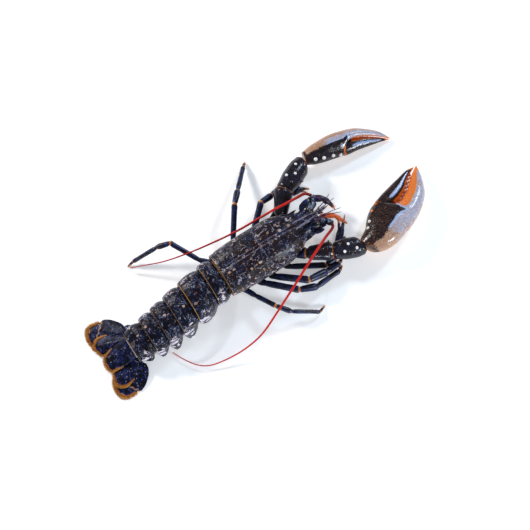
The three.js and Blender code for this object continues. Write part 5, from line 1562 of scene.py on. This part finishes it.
# Grows hairs on (root, direction, length) rows, in mm, as one plain mesh
def growHairs(name, spots, sizes):
    roots, ways = np.array([s[0] for s in spots]), unit([s[1] for s in spots])
    roots[:, 2] = np.maximum(roots[:, 2], 0.5)
    seedMesh = bpy.data.meshes.new(f"{name}_roots")
    seedMesh.from_pydata(((roots + shift) * 0.001).tolist(), [], [])
    reach = np.array([s[2] for s in spots]) * 0.001
    for mark, values in {"way": ways, "reach": reach, "rootX": roots[:, 0], "rootY": roots[:, 1]}.items():
        writeMark(seedMesh, mark, values)
    carrier = linked(f"{name}_carrier", seedMesh)
    modifier = carrier.modifiers.new("hairs", "NODES")
    modifier.node_group = hairTufts
    socketIds = {item.name: item.identifier for item in hairTufts.interface.items_tree if item.in_out == "INPUT"}
    for label, value in {**sizes, "Material": fringeFinish}.items():
        modifier[socketIds[label]] = value
    depsgraph = bpy.context.evaluated_depsgraph_get()
    mesh = bpy.data.meshes.new_from_object(carrier.evaluated_get(depsgraph), depsgraph=depsgraph)
    mesh.name = name
    bpy.data.objects.remove(carrier)  # the modifier goes with it
    count = len(mesh.vertices)
    points = np.empty(count * 3, np.float32)
    mesh.vertices.foreach_get("co", points)
    points[2::3] = np.maximum(points[2::3], floorLift * 0.001)
    mesh.vertices.foreach_set("co", points)
    u, v, along = (np.empty(count, np.float32) for _ in range(3))
    for values, mark in ((u, "rootX"), (v, "rootY"), (along, "along")):
        mesh.attributes[mark].data.foreach_get("value", values)
    corners = np.empty(len(mesh.loops), np.int32)
    mesh.loops.foreach_get("vertex_index", corners)
    u, v = ((values - corner) / hairPatch["span"] for values, corner in zip((u, v), hairPatch["corner"]))
    patch = np.stack([u + hairPatch["length"] * along, v + hairPatch["lift"]], 1)[corners]
    patch[:, 1] += hairPatch["width"] * (np.arange(len(corners)) % 4)
    mesh.uv_layers.new(name="OFBake").data.foreach_set("uv", patch.astype(np.float32).ravel())
    mesh.shade_smooth()
    addPiece(name, mesh)


hairTufts = hairTree()
fringeSize = {"Hairs per Root": 4, "Hair Width": 0.00026, "Spread": 0.16, "Jitter": 0.00035, "Bend": 0.05,
              "Sides": 3, "Seed": 11}
bristleSize = {"Hairs per Root": 5, "Hair Width": 0.00011, "Spread": 0.4, "Jitter": 0.0004, "Bend": 0.12,
               "Sides": 3, "Seed": 23}
growHairs("tail_fringe", fringeSpots, fringeSize)
growHairs("limb_bristles", hairSpots, bristleSize)
print("hairs grown")


# Floor, soft light and camera
def floorPaint():
    p = Paint("paleFloor", Roughness=0.85, Emission_Color=(1, 1, 1, 1), Emission_Strength=0.35)
    tone, grain = p.noise(90, 2, 0.5), p.noise(1.5, 2, 0.5)
    base = p.mix(tone.step(0.3, 0.7), (0.83, 0.83, 0.84), (0.86, 0.86, 0.87))
    return p.ends(base, 0.8 + 0.1 * grain, grain, 0.05, 0.0002)


floorSpan = 8.0
floorMesh = bpy.data.meshes.new("floor")
floorMesh.from_pydata(
    [(x * floorSpan, y * floorSpan, 0) for x, y in ((-1, -1), (1, -1), (1, 1), (-1, 1))], [], [(0, 1, 2, 3)])
floorMesh.materials.append(floorPaint())
floor = linked("floor", floorMesh)

world = bpy.data.worlds.new("studio")
world.use_nodes = True
background = world.node_tree.nodes["Background"].inputs
background["Color"].default_value = (0.85, 0.92, 1.0, 1)
background["Strength"].default_value = 0.2
bpy.context.scene.view_settings.view_transform = "Standard"
bpy.context.scene.world = world

view = {
    "lens": 85, "sensor": 36, "elevation": 75, "azimuth": -32.79, "distance": 1351.89,
    "target": (47.44, -13.18, 20), "clip": (0.05, 20),
}
elevation, azimuth = math.radians(view["elevation"]), math.radians(view["azimuth"])
rightWay = vec(math.cos(azimuth), math.sin(azimuth), 0)
level = math.cos(elevation)
backWay = vec(math.sin(azimuth) * level, -math.cos(azimuth) * level, math.sin(elevation))
upWay = np.cross(backWay, rightWay)
target = vec(*view["target"])


def aimed(spot, back, up=upward):
    back = unit(back)
    right = unit(np.cross(up, back))
    turned = Matrix(np.array([right, np.cross(back, right), back]).T.tolist()).to_4x4()
    return Matrix.Translation(Vector((spot + shift) * 0.001)) @ turned


camera = linked("camera", bpy.data.cameras.new("camera"))
camera.data.lens = view["lens"]
camera.data.sensor_width = view["sensor"]
camera.data.clip_start, camera.data.clip_end = view["clip"]
camera.matrix_world = aimed(target + view["distance"] * backWay, backWay, upWay)
bpy.context.scene.camera = camera

# Lamps: place as right, up and back from the view's target in mm, size in m, watts, colour
lamps = {
    "key": ((-950, 750, 520), 0.22, 15, (1.0, 0.98, 0.96)),
    "fill": ((1000, -500, 620), 0.2, 12, (0.84, 0.92, 1.0)),
    "rim": ((650, 1000, 450), 0.16, 6, (0.7, 0.84, 1.0)),
    "low": ((-300, -1100, 450), 0.16, 5, (0.8, 0.9, 1.0)),
}
for name, ((right, up, back), size, watts, colour) in lamps.items():
    lamp = bpy.data.lights.new(name, "AREA")
    lamp.size, lamp.energy, lamp.color = size, watts, colour
    spot = target + right * rightWay + up * upWay + back * backWay
    linked(name, lamp).matrix_world = aimed(spot, spot - target)
